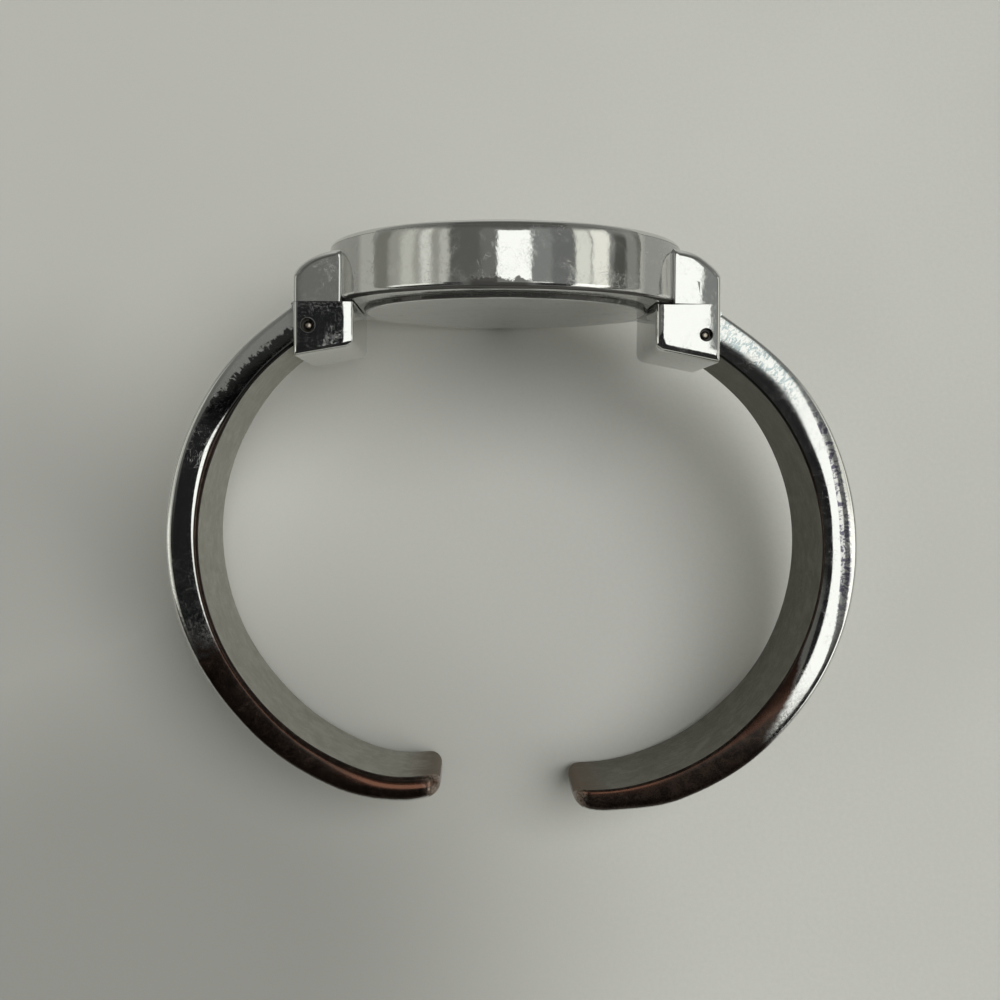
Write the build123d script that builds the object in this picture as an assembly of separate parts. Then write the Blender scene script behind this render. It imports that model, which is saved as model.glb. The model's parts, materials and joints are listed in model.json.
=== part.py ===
from build123d import *
import math
import os

os.makedirs("parts", exist_ok=True)

# ---------------------------------------------------------------------------
# Cuff watch. All lengths in millimetres.
# Working frame while modelling: Z is the dial's normal, 12 o'clock is -X,
# 3 o'clock (crown) is +Y, Z = 0 is the middle of the wrist opening.
# At the end everything is turned about X so that the watch lies on its side,
# on the crown and the two tips, and the origin goes to the middle of its base.
# ---------------------------------------------------------------------------

# case
CASE_R = 17.0            # outer radius of the drum
CASE_BOT = 17.10         # underside of the case
CASE_TOP = 22.55         # top of the case, under the bezel's flange
RIM_TOP = 22.95          # top of the bezel
CASE_EDGE = 0.55         # rounding of the drum's lower edge
BORE_R = 14.30           # bore for dial and movement
LEDGE_R = 14.00          # inner radius of the ledge over the dial
LEDGE_Z = 20.90          # underside of the ledge
SEAT_Z = 21.95           # crystal seat
BEZEL_BORE_R = 16.0      # counterbore for the bezel's neck
BACK_RECESS_R = 14.75    # recess for the case back's flange

# hooded lugs and hinge blocks
LUG_HALF_W = 7.6         # half the width of a lug
SEAM_Z = 17.0            # parting plane between hood and hinge block
L_OUT, L_IN = -19.58, -14.08
R_OUT, R_IN = 19.72, 13.75
L_BLOCK_BOT = (12.02, 12.98)   # underside height at the outer and inner end
R_BLOCK_BOT = (11.62, 12.80)
L_PIN = (-18.23, 14.86)
R_PIN = (18.38, 14.20)
BLOCK_CORNER = 0.85       # rounding of the block's lower wrist-side corner
PIN_R = 0.38
PIN_HOLE_R = 0.385
PIN_HALF = 7.25
PIN_MOUTH_R = 0.58       # wider mouth of the pin hole
PIN_MOUTH_DEPTH = 0.7
KNUCKLE_R = 1.62
KNUCKLE_BORE_R = 0.42
SLOT_R = 1.70
SLOT_HALF_W = 6.58
SLOT_TOP = 18.45

# cuff arms
ARM_HALF_W = 6.42        # half the width in the middle of an arm
ARM_TIP_HALF_W = 5.75
ARM_IN_R = 0.80          # rounding of the inner edges
ARM_OUT_R = 0.75         # rounding of the outer edges
L_INNER = [(-6.05, -27.15), (-10.80, -27.32), (-15.20, -25.90), (-19.25, -23.46), (-23.10, -19.75),
           (-26.00, -15.50), (-28.00, -10.10), (-28.60, -4.30), (-27.80, 1.00), (-25.60, 6.37),
           (-22.86, 10.26), (-18.10, 14.30)]
R_INNER = [(6.30, -28.55), (10.20, -28.42), (14.60, -27.36), (19.30, -25.08), (23.50, -21.58),
           (26.80, -17.20), (28.95, -12.10), (29.83, -6.65), (29.42, -1.60), (27.62, 3.70),
           (24.75, 8.15), (21.10, 11.50), (18.20, 13.55)]
L_THICK = [(0.0, 2.45), (0.06, 2.72), (0.16, 3.05), (0.30, 3.15), (0.55, 3.45), (0.80, 3.52), (1.0, 3.5)]
R_THICK = [(0.0, 2.30), (0.06, 2.66), (0.16, 3.20), (0.30, 3.40), (0.55, 3.70), (0.80, 3.80), (1.0, 3.75)]
CROWNING = 0.42          # how far the outer face is domed across its width
OPEN_DEG = 20.0          # each arm swings out this far

# crystal, dial, hands
CRYSTAL_R, CRYSTAL_T = 15.20, 0.88
DIAL_R, DIAL_BOT, DIAL_TOP = 14.05, 20.45, 20.85
HOUR_Z, MIN_Z, SEC_Z = 21.05, 21.33, 21.60

# crown and stem, along +Y
STEM_Z = 19.20
CROWN_R, CROWN_LEN = 2.05, 2.05
CROWN_IN = 17.18         # inner end of the crown, just off the drum
CROWN_PULL = 0.9

# movement
MOVE_R = 8.70
PLATE_BOT, PLATE_TOP = 19.35, 20.30
BRIDGE_BOT, BRIDGE_TOP = 17.45, 17.85

# gear train: module, teeth, centre distances
M_FIFTH, N_FIFTH_P, N_SEC = 0.075, 12, 60
M_ROTOR, N_ROTOR_P, N_FIFTH_W = 0.070, 8, 48
M_FOURTH, N_FOURTH_P, N_THIRD_W = 0.075, 8, 60
M_THIRD, N_THIRD_P, N_CENTER = 2 * 2.55 / 72, 8, 64
M_CANNON, N_CANNON, N_MINW = 0.100, 12, 36
M_MINP, N_MINP, N_HOURW = 2 * 2.40 / 50, 10, 40
D_FIFTH = M_FIFTH * (N_FIFTH_P + N_SEC) / 2
D_ROTOR = M_ROTOR * (N_ROTOR_P + N_FIFTH_W) / 2
D_THIRD = M_FOURTH * (N_FOURTH_P + N_THIRD_W) / 2
D_MINUTE = M_CANNON * (N_CANNON + N_MINW) / 2
A_FIFTH, A_ROTOR, A_THIRD, A_MINUTE = 190.0, 200.0, 258.0, 50.0

TILT = 15.4              # lying angle
parts = {}


def pol(r, deg):
    return (r * math.cos(math.radians(deg)), r * math.sin(math.radians(deg)))


def cyl(r, z0, z1, x=0.0, y=0.0):
    return Pos(x, y, (z0 + z1) / 2) * Cylinder(r, z1 - z0)


def ring(ro, ri, z0, z1, x=0.0, y=0.0):
    return cyl(ro, z0, z1, x, y) - cyl(ri, z0 - 1, z1 + 1, x, y)


def box(x0, x1, y0, y1, z0, z1):
    return Pos((x0 + x1) / 2, (y0 + y1) / 2, (z0 + z1) / 2) * Box(x1 - x0, y1 - y0, z1 - z0)


def spun(points):
    """Solid of revolution about Z from (radius, height) points."""
    return revolve(Plane.XZ * Polygon(*points, align=None), Axis.Z)


def slab(face, half):
    """Profile in X and Z, thick by half each way along Y."""
    return extrude(Plane.XZ * face, amount=half, both=True)


def one(shape):
    """The single solid of a shape."""
    s = shape.solids()
    return s[0] if len(s) == 1 else max(s, key=lambda q: q.volume)


# ---------------------------------------------------------------------------
# case middle: drum with two hooded lugs
# ---------------------------------------------------------------------------
e = CASE_EDGE


def drum_body():
    a = math.pi / 4
    edges = [
        Line((0, CASE_BOT), (CASE_R - e, CASE_BOT)),
        ThreePointArc((CASE_R - e, CASE_BOT), (CASE_R - e + e * math.sin(a), CASE_BOT + e - e * math.cos(a)), (CASE_R, CASE_BOT + e)),
        Line((CASE_R, CASE_BOT + e), (CASE_R, CASE_TOP)),
        Line((CASE_R, CASE_TOP), (0, CASE_TOP)),
        Line((0, CASE_TOP), (0, CASE_BOT)),
    ]
    return revolve(Plane.XZ * make_face(edges), Axis.Z)


def hood(side):
    if side < 0:
        edges = [
            Line((L_OUT, SEAM_Z), (L_OUT, 19.48)),
            Spline((L_OUT, 19.48), (-18.52, 20.72), (-17.20, 21.40), (-15.25, 21.86), tangents=[(0.30, 1), (1, 0.12)]),
            Line((-15.25, 21.86), (-9.0, 22.30)),
            Line((-9.0, 22.30), (-9.0, SEAM_Z)),
            Line((-9.0, SEAM_Z), (L_OUT, SEAM_Z)),
        ]
    else:
        edges = [
            Line((R_OUT, SEAM_Z), (R_OUT, 19.60)),
            Spline((R_OUT, 19.60), (18.80, 20.70), (17.66, 21.50), (15.00, 22.14), tangents=[(-0.30, 1), (-1, 0.12)]),
            Line((15.00, 22.14), (9.0, 22.40)),
            Line((9.0, 22.40), (9.0, SEAM_Z)),
            Line((9.0, SEAM_Z), (R_OUT, SEAM_Z)),
        ]
    h = slab(make_face(edges), LUG_HALF_W)
    out = L_OUT if side < 0 else R_OUT
    upright = [q for q in h.edges().filter_by(Axis.Z) if abs(q.center().X - out) < 0.05]
    h = fillet(upright, 0.42)
    return h


def slot(side):
    px, pz = L_PIN if side < 0 else R_PIN
    s = Pos(px, 0, pz) * Rot(90, 0, 0) * Cylinder(SLOT_R, 2 * SLOT_HALF_W)
    floor = (12.72 if side < 0 else 12.35)
    if side < 0:
        s = s + box(L_OUT - 1, px, -SLOT_HALF_W, SLOT_HALF_W, floor, SLOT_TOP)
        s = s + box(px - 1, px + 0.75, -SLOT_HALF_W, SLOT_HALF_W, pz, SLOT_TOP)
    else:
        s = s + box(px, R_OUT + 1, -SLOT_HALF_W, SLOT_HALF_W, floor, SLOT_TOP)
        s = s + box(px - 0.75, px + 1, -SLOT_HALF_W, SLOT_HALF_W, pz, SLOT_TOP)
    return s


SLOT_L, SLOT_R_CUT = slot(-1), slot(1)

case = drum_body() + hood(-1) + hood(1)
case = case - cyl(BORE_R, CASE_BOT - 1, LEDGE_Z)
case = case - cyl(LEDGE_R, LEDGE_Z - 1, SEAT_Z + 2)
case = case - cyl(BEZEL_BORE_R, SEAT_Z, CASE_TOP + 1)
case = case - cyl(BACK_RECESS_R, CASE_BOT - 1, CASE_BOT + 0.35)
case = case - SLOT_L - SLOT_R_CUT
case = case - box(-30, 30, -30, 30, SEAM_Z - 3, SEAM_Z + 1e-4)
# hole for the crown tube
case = case - Pos(0, 15.5, STEM_Z) * Rot(90, 0, 0) * Cylinder(1.0, 6)
parts["case_middle"] = one(case)


# ---------------------------------------------------------------------------
# hinge blocks, brazed under the hoods
# ---------------------------------------------------------------------------
def hinge_block(side):
    out, inn = (L_OUT, L_IN) if side < 0 else (R_OUT, R_IN)
    bo, bi = L_BLOCK_BOT if side < 0 else R_BLOCK_BOT
    px, pz = L_PIN if side < 0 else R_PIN
    s = 1 if side < 0 else -1
    slope = math.atan2(bi - bo, abs(inn - out))
    rr = BLOCK_CORNER
    # rounded lower corner on the wrist side
    c0 = (inn, bi + rr)
    c1 = (inn - s * rr, bi - rr * math.tan(slope) + 0.0)
    mid = (inn - s * rr * 0.27, bi + rr * 0.27 - 0.1 * rr * math.sin(slope))
    f = make_face([
        Line((out, SEAM_Z), (inn, SEAM_Z)),
        Line((inn, SEAM_Z), c0),
        ThreePointArc(c0, mid, c1),
        Line(c1, (out, bo)),
        Line((out, bo), (out, SEAM_Z)),
    ])
    b = slab(f, LUG_HALF_W)
    rim = [q for q in b.edges() if abs(abs(q.center().Y) - LUG_HALF_W) < 0.02 and q.center().Z < SEAM_Z - 0.3 and abs(q.center().X - out) > 0.05]
    b = fillet(rim, 0.45)
    b = fillet([q for q in b.edges().filter_by(Axis.Z) if abs(q.center().X - out) < 0.02], 0.42)
    b = b - (SLOT_L if side < 0 else SLOT_R_CUT)
    # pocket for the closing spring
    xs = sorted((px + s * 1.2, px + s * 2.55))
    b = b - box(xs[0], xs[1], -3.2, 3.2, pz - 1.35, SEAM_Z + 1)
    # pin hole with its wider mouths
    b = b - Pos(px, 0, pz) * Rot(90, 0, 0) * Cylinder(PIN_HOLE_R, 20)
    for m in (-1, 1):
        b = b - Pos(px, m * (LUG_HALF_W - PIN_MOUTH_DEPTH / 2 + 0.5), pz) * Rot(90, 0, 0) * Cylinder(PIN_MOUTH_R, PIN_MOUTH_DEPTH + 1)
    return one(b)


parts["hinge_block_left"] = hinge_block(-1)
parts["hinge_block_right"] = hinge_block(1)


def hinge_pin(side):
    px, pz = L_PIN if side < 0 else R_PIN
    p = Cylinder(PIN_R, 2 * PIN_HALF)
    p = chamfer(p.edges(), 0.08)
    return one(Pos(px, 0, pz) * Rot(90, 0, 0) * p)


parts["hinge_pin_left"] = hinge_pin(-1)
parts["hinge_pin_right"] = hinge_pin(1)


# closing springs: a flat leaf standing against the flat of the arm's knuckle
def hinge_spring(side):
    px, pz = L_PIN if side < 0 else R_PIN
    s = 1 if side < 0 else -1
    x = px + s * 1.40
    pts = [(x, pz - 1.30), (x, pz + 0.9), (x + s * 0.25, SEAM_Z - 0.15), (x + s * 0.47, SEAM_Z - 0.15),
           (x + s * 0.22, pz + 0.9), (x + s * 0.22, pz - 1.30)]
    return one(slab(Polygon(*pts, align=None), 3.0))


parts["hinge_spring_left"] = hinge_spring(-1)
parts["hinge_spring_right"] = hinge_spring(1)


# ---------------------------------------------------------------------------
# cuff arms: lofted along the inner curve, rounded edges, slightly domed outside
# ---------------------------------------------------------------------------
def lookup(table, t):
    for (a, va), (b, vb) in zip(table, table[1:]):
        if t <= b:
            u = (t - a) / (b - a)
            u = u * u * (3 - 2 * u)
            return va + (vb - va) * u
    return table[-1][1]


def section(w, t, crown):
    r1, r2, k = ARM_IN_R, ARM_OUT_R, math.sqrt(0.5)
    te = t - crown
    return make_face([
        Line((-w + r1, 0), (w - r1, 0)),
        ThreePointArc((w - r1, 0), (w - r1 + r1 * k, r1 - r1 * k), (w, r1)),
        Line((w, r1), (w, te - r2)),
        ThreePointArc((w, te - r2), (w - r2 + r2 * k, te - r2 + r2 * k), (w - r2, te)),
        ThreePointArc((w - r2, te), (0, t), (-w + r2, te)),
        ThreePointArc((-w + r2, te), (-w + r2 - r2 * k, te - r2 + r2 * k), (-w, te - r2)),
        Line((-w, te - r2), (-w, r1)),
        ThreePointArc((-w, r1), (-w + r1 - r1 * k, r1 - r1 * k), (-w + r1, 0)),
    ])


def cuff_arm(side):
    pts = L_INNER if side < 0 else R_INNER
    thick = L_THICK if side < 0 else R_THICK
    px, pz = L_PIN if side < 0 else R_PIN
    curve = Spline(*[(x, 0, z) for x, z in pts])
    faces = []
    for t in (0.0, 0.05, 0.12, 0.2, 0.3, 0.4, 0.5, 0.6, 0.7, 0.8, 0.9, 1.0):
        w = ARM_TIP_HALF_W + (ARM_HALF_W - ARM_TIP_HALF_W) * min(1.0, t / 0.3) ** 0.7
        pl = Plane(origin=curve.position_at(t), x_dir=(0, -side, 0), z_dir=curve.tangent_at(t))
        faces.append(pl * section(w, lookup(thick, t), CROWNING))
    a = loft(faces)
    # knuckle round the pin, and the rounded heel above it
    s = 1 if side < 0 else -1
    half = ARM_HALF_W - 0.05
    barrel = Pos(px, 0, pz) * Rot(90, 0, 0) * Cylinder(KNUCKLE_R, 2 * half)
    heel = slab(Polygon(*[(px + s * q[0], pz + q[1]) for q in
                          ((-0.9, -1.3), (0.9, -1.3), (0.9, 1.3), (0.0, 1.62), (-0.55, 2.35), (-1.1, 2.62), (-1.7, 2.1))], align=None), half)
    a = a + barrel + heel
    # nothing of the loft may stand past the knuckle inside the block
    far = px + s * 0.2
    xs = sorted((far, far + s * 6))
    a = a - (box(xs[0], xs[1], -8, 8, pz - 8, pz + 8) - Pos(px, 0, pz) * Rot(90, 0, 0) * Cylinder(KNUCKLE_R, 20))
    # flat for the closing spring
    xs = sorted((px + s * 1.37, px + s * 3))
    a = a - box(xs[0], xs[1], -3.3, 3.3, pz - 3, pz + 3)
    a = a - Pos(px, 0, pz) * Rot(90, 0, 0) * Cylinder(KNUCKLE_BORE_R, 20)
    # rounded corners of the tip
    p0, t0 = curve.position_at(0), curve.tangent_at(0)
    rc = 1.5
    for m in (-1, 1):
        pl = Plane(origin=p0, x_dir=(t0.X, 0, t0.Z), z_dir=(-t0.Z, 0, t0.X))
        w = ARM_TIP_HALF_W
        corner = Pos(-1 + (rc + 1) / 2, m * (w - rc + (rc + 1) / 2), 0) * Box(rc + 1, rc + 1, 14)
        corner = corner - Pos(rc, m * (w - rc), 0) * Cylinder(rc, 20)
        a = a - pl * corner
    return one(a)


parts["cuff_arm_left"] = cuff_arm(-1)
parts["cuff_arm_right"] = cuff_arm(1)

# ---------------------------------------------------------------------------
# bezel, crystal, dial and hands
# ---------------------------------------------------------------------------
parts["bezel"] = spun([(15.55, SEAT_Z + 0.02), (15.98, SEAT_Z + 0.02), (15.98, CASE_TOP + 0.02), (CASE_R - 0.02, CASE_TOP + 0.02),
                       (CASE_R - 0.02, RIM_TOP - 0.22), (CASE_R - 0.22, RIM_TOP), (15.75, RIM_TOP), (15.55, RIM_TOP - 0.15)])
parts["crystal_gasket"] = ring(15.52, CRYSTAL_R + 0.02, SEAT_Z + 0.02, SEAT_Z + CRYSTAL_T - 0.05)
crystal = cyl(CRYSTAL_R, SEAT_Z + 0.02, SEAT_Z + 0.02 + CRYSTAL_T)
parts["crystal"] = chamfer(crystal.edges().sort_by(Axis.Z)[-1], 0.15)
parts["dial_ring"] = spun([(13.2, DIAL_TOP + 0.02), (13.95, DIAL_TOP + 0.02), (13.95, SEAT_Z - 0.02), (13.80, SEAT_Z - 0.02)])
dial = cyl(DIAL_R, DIAL_BOT, DIAL_TOP) - cyl(0.80, DIAL_BOT - 1, DIAL_TOP + 1)
for deg in (70, 250):
    x, y = pol(6.9, deg)
    dial = dial + cyl(0.35, DIAL_BOT - 0.75, DIAL_BOT + 0.1, x, y)
parts["dial"] = one(dial)

markers = []
for i in range(12):
    # marker i stands at i o'clock; 12 o'clock is -X and hours run clockwise seen from above
    wide, long_ = (0.95, 2.3) if i % 3 == 0 else (0.5, 1.9)
    m = box(11.9 - long_, 11.9, -wide / 2, wide / 2, DIAL_TOP, DIAL_TOP + 0.22)
    m = chamfer(m.edges().group_by(Axis.Z)[-1], 0.08)
    markers.append(Rot(0, 0, 180 - 30 * i) * m)
parts["hour_markers"] = Compound(children=[one(m) for m in markers])


def hand(length, tail, wide, z, t, hub_r, bore_r, deg, boss=0.0):
    """Tapered hand along +X before turning to deg."""
    f = Polygon((-tail, -wide * 0.42), (0, -wide / 2), (length * 0.72, -wide * 0.36), (length, 0), (length * 0.72, wide * 0.36),
                (0, wide / 2), (-tail, wide * 0.42), align=None)
    h = extrude(Pos(0, 0, z) * f, amount=t)
    h = h + cyl(hub_r, z - boss, z + t)
    h = h - cyl(bore_r, z - 2, z + t + 2)
    return one(Rot(0, 0, deg) * h)


# ten past ten on the dial: hour hand near 10, minute hand at 2
HOUR_ANG = 180 - (10 + 10 / 60) * 30
MIN_ANG = 180 - 10 * 6
SEC_ANG = 180 - 35 * 6
parts["hour_hand"] = hand(7.4, 0.0, 1.0, HOUR_Z, 0.16, 1.05, 0.705, HOUR_ANG)
parts["minute_hand"] = hand(11.2, 0.0, 0.8, MIN_Z, 0.14, 0.80, 0.425, MIN_ANG)
second_bar = box(-3.2, 12.0, -0.09, 0.09, SEC_Z, SEC_Z + 0.1) + box(-3.4, -1.6, -0.22, 0.22, SEC_Z, SEC_Z + 0.1)
parts["second_hand"] = one(Rot(0, 0, SEC_ANG) * (second_bar + cyl(0.5, SEC_Z, SEC_Z + 0.12) - cyl(0.152, SEC_Z - 1, SEC_Z + 1)))

# ---------------------------------------------------------------------------
# case back and gasket
# ---------------------------------------------------------------------------
BACK_FLAT = 16.70
back = spun([(0, BACK_FLAT), (13.42, BACK_FLAT), (13.68, BACK_FLAT + 0.14), (13.70, CASE_BOT + 0.02), (14.70, CASE_BOT + 0.02),
             (14.70, CASE_BOT + 0.33), (13.85, CASE_BOT + 0.33), (13.85, 18.10), (13.35, 18.10), (13.35, 17.32), (0, 17.32)])
# shallow notch for the case knife, on the crown's side
back = back - Pos(5.0, 12.9, BACK_FLAT) * Rot(0, 0, -21) * Box(2.0, 0.9, 0.4)
parts["case_back"] = one(back)
parts["case_back_gasket"] = ring(14.26, 13.89, CASE_BOT + 0.4, CASE_BOT + 0.85)

# ---------------------------------------------------------------------------
# movement holder, plate, bridge
# ---------------------------------------------------------------------------
holder = ring(14.22, MOVE_R + 0.08, 18.14, DIAL_BOT - 0.02) + ring(13.2, MOVE_R + 0.08, 17.42, 18.2)
holder = holder - Pos(0, 11.5, STEM_Z) * Rot(90, 0, 0) * Cylinder(1.15, 12)
for deg in (30, 150, 210, 330):
    x, y = pol(11.2, deg)
    holder = holder - cyl(1.3, 17.0, 19.6, x, y)
parts["movement_holder"] = one(holder)

x3, y3 = pol(D_THIRD, A_THIRD)
x5, y5 = pol(D_FIFTH, A_FIFTH)
xr, yr = x5 + pol(D_ROTOR, A_ROTOR)[0], y5 + pol(D_ROTOR, A_ROTOR)[1]
xm, ym = pol(D_MINUTE, A_MINUTE)
SCREWS = [(-2.4, -6.6), (3.8, 0.45), (-5.6, 3.4)]
BAT = (4.75, -3.35)
BAT_R = 2.9
LEVER = (3.0, 7.3)

plate = cyl(MOVE_R, PLATE_BOT, PLATE_TOP)
plate = plate - cyl(0.47, PLATE_BOT - 1, PLATE_TOP + 1)
plate = plate - cyl(2.15, 19.72, PLATE_TOP + 1) - cyl(2.05, 19.72, PLATE_TOP + 1, xm, ym)
for (x, y) in ((x3, y3), (x5, y5), (xr, yr)):
    plate = plate - cyl(0.17, PLATE_BOT - 1, PLATE_BOT + 0.4, x, y)
plate = plate + cyl(0.22, 19.6, PLATE_TOP, xm, ym)
for (x, y) in SCREWS:
    plate = plate + cyl(0.85, BRIDGE_TOP, PLATE_BOT + 0.1, x, y)
    plate = plate - cyl(0.31, BRIDGE_TOP - 1, 19.0, x, y)
# channel for stem and clutch, opening at the rim
plate = plate - box(-0.95, 0.95, 2.75, 12, 18.0, 20.02)
for deg in (70, 250):
    x, y = pol(6.9, deg)
    plate = plate - cyl(0.40, PLATE_BOT - 1, PLATE_TOP + 1, x, y)
# stud for the setting lever
plate = plate + cyl(0.35, 18.75, PLATE_BOT + 0.1, *LEVER)
parts["main_plate"] = one(plate)

bridge = cyl(MOVE_R - 0.3, BRIDGE_BOT, BRIDGE_TOP) - box(1.4, 12, -12, -1.15, 17, 19) - box(-12, 12, 2.6, 12, 17, 19) - box(2.9, 12, 1.25, 12, 17, 19)
bridge = bridge + cyl(1.1, BRIDGE_BOT, BRIDGE_TOP, -5.6, 3.4)
bridge = bridge - cyl(BAT_R + 0.15, 17, 19, *BAT)
for (x, y) in ((x3, y3), (x5, y5), (xr, yr), (0, 0)):
    bridge = bridge - cyl(0.17, 17, BRIDGE_TOP + 1, x, y)
for (x, y) in SCREWS:
    bridge = bridge - cyl(0.34, 17, 19, x, y)
parts["train_bridge"] = one(bridge)

screws = []
for (x, y) in SCREWS:
    s = cyl(0.30, BRIDGE_BOT - 0.02, 18.9, x, y) + cyl(0.62, 17.34, BRIDGE_BOT - 0.01, x, y)
    s = s - box(x - 0.7, x + 0.7, y - 0.06, y + 0.06, 17.3, 17.39)
    screws.append(one(s))
parts["movement_screws"] = Compound(children=screws)

# electronics
parts["battery"] = one(chamfer(cyl(BAT_R, 17.55, 19.20, *BAT).edges(), 0.12))
clamp = box(BAT[0] - 2.2, BAT[0] + 1.6, BAT[1] - 0.55, BAT[1] + 0.55, 17.36, 17.52)
parts["battery_clamp"] = one(clamp)
core = box(-7.35, -6.75, -3.6, 3.4, 18.35, 18.75)
parts["coil_core"] = one(core)
wind = Pos(-7.05, -0.1, 18.55) * Rot(90, 0, 0) * Cylinder(0.62, 4.6) - box(-7.37, -6.73, -5, 5, 18.33, 18.77)
parts["coil_winding"] = one(wind)
stator = box(-7.3, -6.1, -3.5, -2.55, 18.78, 19.03) + box(-6.5, -3.05, -3.2, 0.6, 18.78, 19.03) + box(-7.3, -5.5, 2.3, 3.3, 18.78, 19.03) + box(-6.1, -5.2, 0.2, 3.3, 18.78, 19.03)
stator = stator - cyl(0.95, 18, 20, xr, yr) - cyl(1.05, 18, 20, x5, y5) - cyl(0.95, 18, 20, -5.6, 3.4)
parts["stator"] = one(stator)
board = box(1.3, 6.2, 2.75, 4.9, 18.15, 18.35)
parts["circuit_board"] = one(board)
parts["chip"] = one(box(4.2, 5.6, 3.1, 4.4, 17.80, 18.14))
parts["quartz_oscillator"] = one(Pos(5.55, 2.02, 18.2) * Rot(0, 90, 0) * Cylinder(0.6, 4.4))


# ---------------------------------------------------------------------------
# wheels
# ---------------------------------------------------------------------------
def gear(n, m, z0, z1, x, y, phase_deg, toward_tooth):
    """Spur wheel with plain teeth; a tooth, or a gap, points at phase_deg."""
    rp = n * m / 2
    small = n < 16
    ra = rp + m * (0.75 if small else 0.70)
    rd = rp - m * (0.95 if small else 0.95)
    pitch = 2 * math.pi / n
    off = math.radians(phase_deg) + (0 if toward_tooth else pitch / 2)
    pts = []
    for i in range(n):
        c = off + i * pitch
        for frac, r in ((-0.34, rd), (-0.11, ra), (0.11, ra), (0.34, rd)):
            a = c + frac * pitch
            pts.append((r * math.cos(a), r * math.sin(a)))
    return extrude(Pos(x, y, z0) * Polygon(*pts, align=None), amount=z1 - z0)


# seconds wheel and its long arbor, at the centre
sec = gear(N_SEC, M_FIFTH, 18.05, 18.18, 0, 0, A_FIFTH, True)
sec = sec + gear(N_FOURTH_P, M_FOURTH, 18.60, 18.88, 0, 0, A_THIRD, False) + cyl(0.15, 17.5, 21.68) + cyl(0.24, 18.1, 18.62)
parts["seconds_wheel"] = one(sec)

fifth = gear(N_FIFTH_P, M_FIFTH, 17.98, 18.30, x5, y5, A_FIFTH + 180, False) + gear(N_FIFTH_W, M_ROTOR, 18.38, 18.50, x5, y5, A_ROTOR, True)
fifth = fifth + cyl(0.15, 17.5, 19.7, x5, y5) + cyl(0.26, 18.2, 18.7, x5, y5)
parts["intermediate_wheel"] = one(fifth)

rotor = gear(N_ROTOR_P, M_ROTOR, 18.32, 18.62, xr, yr, A_ROTOR + 180, False) + cyl(0.15, 17.5, 19.7, xr, yr)
parts["rotor_arbor"] = one(rotor)
parts["rotor_magnet"] = one(ring(0.75, 0.152, 18.70, 19.15, xr, yr))

third = gear(N_THIRD_W, M_FOURTH, 18.68, 18.80, x3, y3, A_THIRD + 180, True) + gear(N_THIRD_P, M_THIRD, 18.98, 19.30, x3, y3, A_THIRD + 180, False)
third = third + cyl(0.15, 17.5, 19.7, x3, y3) + cyl(0.2, 18.7, 19.1, x3, y3)
parts["third_wheel"] = one(third)

center = gear(N_CENTER, M_THIRD, 19.10, 19.22, 0, 0, A_THIRD, True) + gear(N_CANNON, M_CANNON, 19.74, 19.92, 0, 0, A_MINUTE, False)
center = center + cyl(0.42, 19.05, 21.45)
center = center - cyl(0.18, 18, 23)
parts["center_wheel"] = one(center)

minw = gear(N_MINW, M_CANNON, 19.76, 19.90, xm, ym, A_MINUTE + 180, True) + gear(N_MINP, M_MINP, 19.90, 20.22, xm, ym, A_MINUTE + 180, False)
minw = minw - cyl(0.25, 18, 23, xm, ym)
parts["minute_wheel"] = one(minw)

hourw = gear(N_HOURW, M_MINP, 20.04, 20.18, 0, 0, A_MINUTE, True) + cyl(0.70, 20.02, 21.19)
hourw = hourw - cyl(0.46, 18, 23)
parts["hour_wheel"] = one(hourw)

# ---------------------------------------------------------------------------
# crown, stem and clutch on +Y
# ---------------------------------------------------------------------------


def along(r, y0, y1):
    return Pos(0, (y0 + y1) / 2, STEM_Z) * Rot(90, 0, 0) * Cylinder(r, y1 - y0)


tube = along(0.99, 14.45, 17.75) - along(0.52, 14, 18)
parts["crown_tube"] = one(tube)
stem = along(0.28, 3.0, 3.9) + box(-0.28, 0.28, 3.8, 5.9, STEM_Z - 0.28, STEM_Z + 0.28) + along(0.48, 5.8, 6.5) + along(0.28, 6.4, 7.3) + along(0.48, 7.2, 18.6)
parts["stem"] = one(stem)
clutch = along(0.75, 4.2, 5.1) - box(-0.31, 0.31, 3, 6, STEM_Z - 0.31, STEM_Z + 0.31)
for i in range(14):
    clutch = clutch - Pos(0, 0, STEM_Z) * Rot(0, i * 360 / 14, 0) * box(-0.06, 0.06, 4.9, 5.3, 0.45, 0.9)
parts["clutch_wheel"] = one(clutch)

crown = along(CROWN_R, CROWN_IN, CROWN_IN + CROWN_LEN)
crown = chamfer(crown.edges().sort_by(Axis.Y)[-1], 0.28)
crown = chamfer(crown.edges().sort_by(Axis.Y)[0], 0.12)
crown = crown - along(1.42, CROWN_IN - 1, CROWN_IN + 1.05) - along(0.49, CROWN_IN - 1, 18.62)
for i in range(24):
    crown = crown - Pos(0, 0, STEM_Z) * Rot(0, i * 15, 0) * Pos(0, CROWN_IN + 1.0, CROWN_R + 0.06) * Rot(90, 0, 0) * Cylinder(0.17, 4)
parts["crown"] = one(crown)
parts["crown_gasket"] = one(along(1.40, CROWN_IN + 0.12, CROWN_IN + 0.50) - along(1.02, 10, 25))

# setting lever: turns on the plate's stud, its finger sits in the stem's groove
lx, ly = LEVER
lever = Polygon((lx, ly + 0.72), (0.66, 6.99), (0.66, 6.71), (lx, ly - 0.72), align=None)
lever = extrude(Pos(0, 0, 18.85) * lever, amount=0.25) + cyl(0.72, 18.85, 19.10, lx, ly) + box(0.34, 0.9, 6.72, 6.98, 18.85, 19.10)
lever = lever - cyl(0.37, 18, 20, lx, ly)
parts["setting_lever"] = one(lever)

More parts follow.
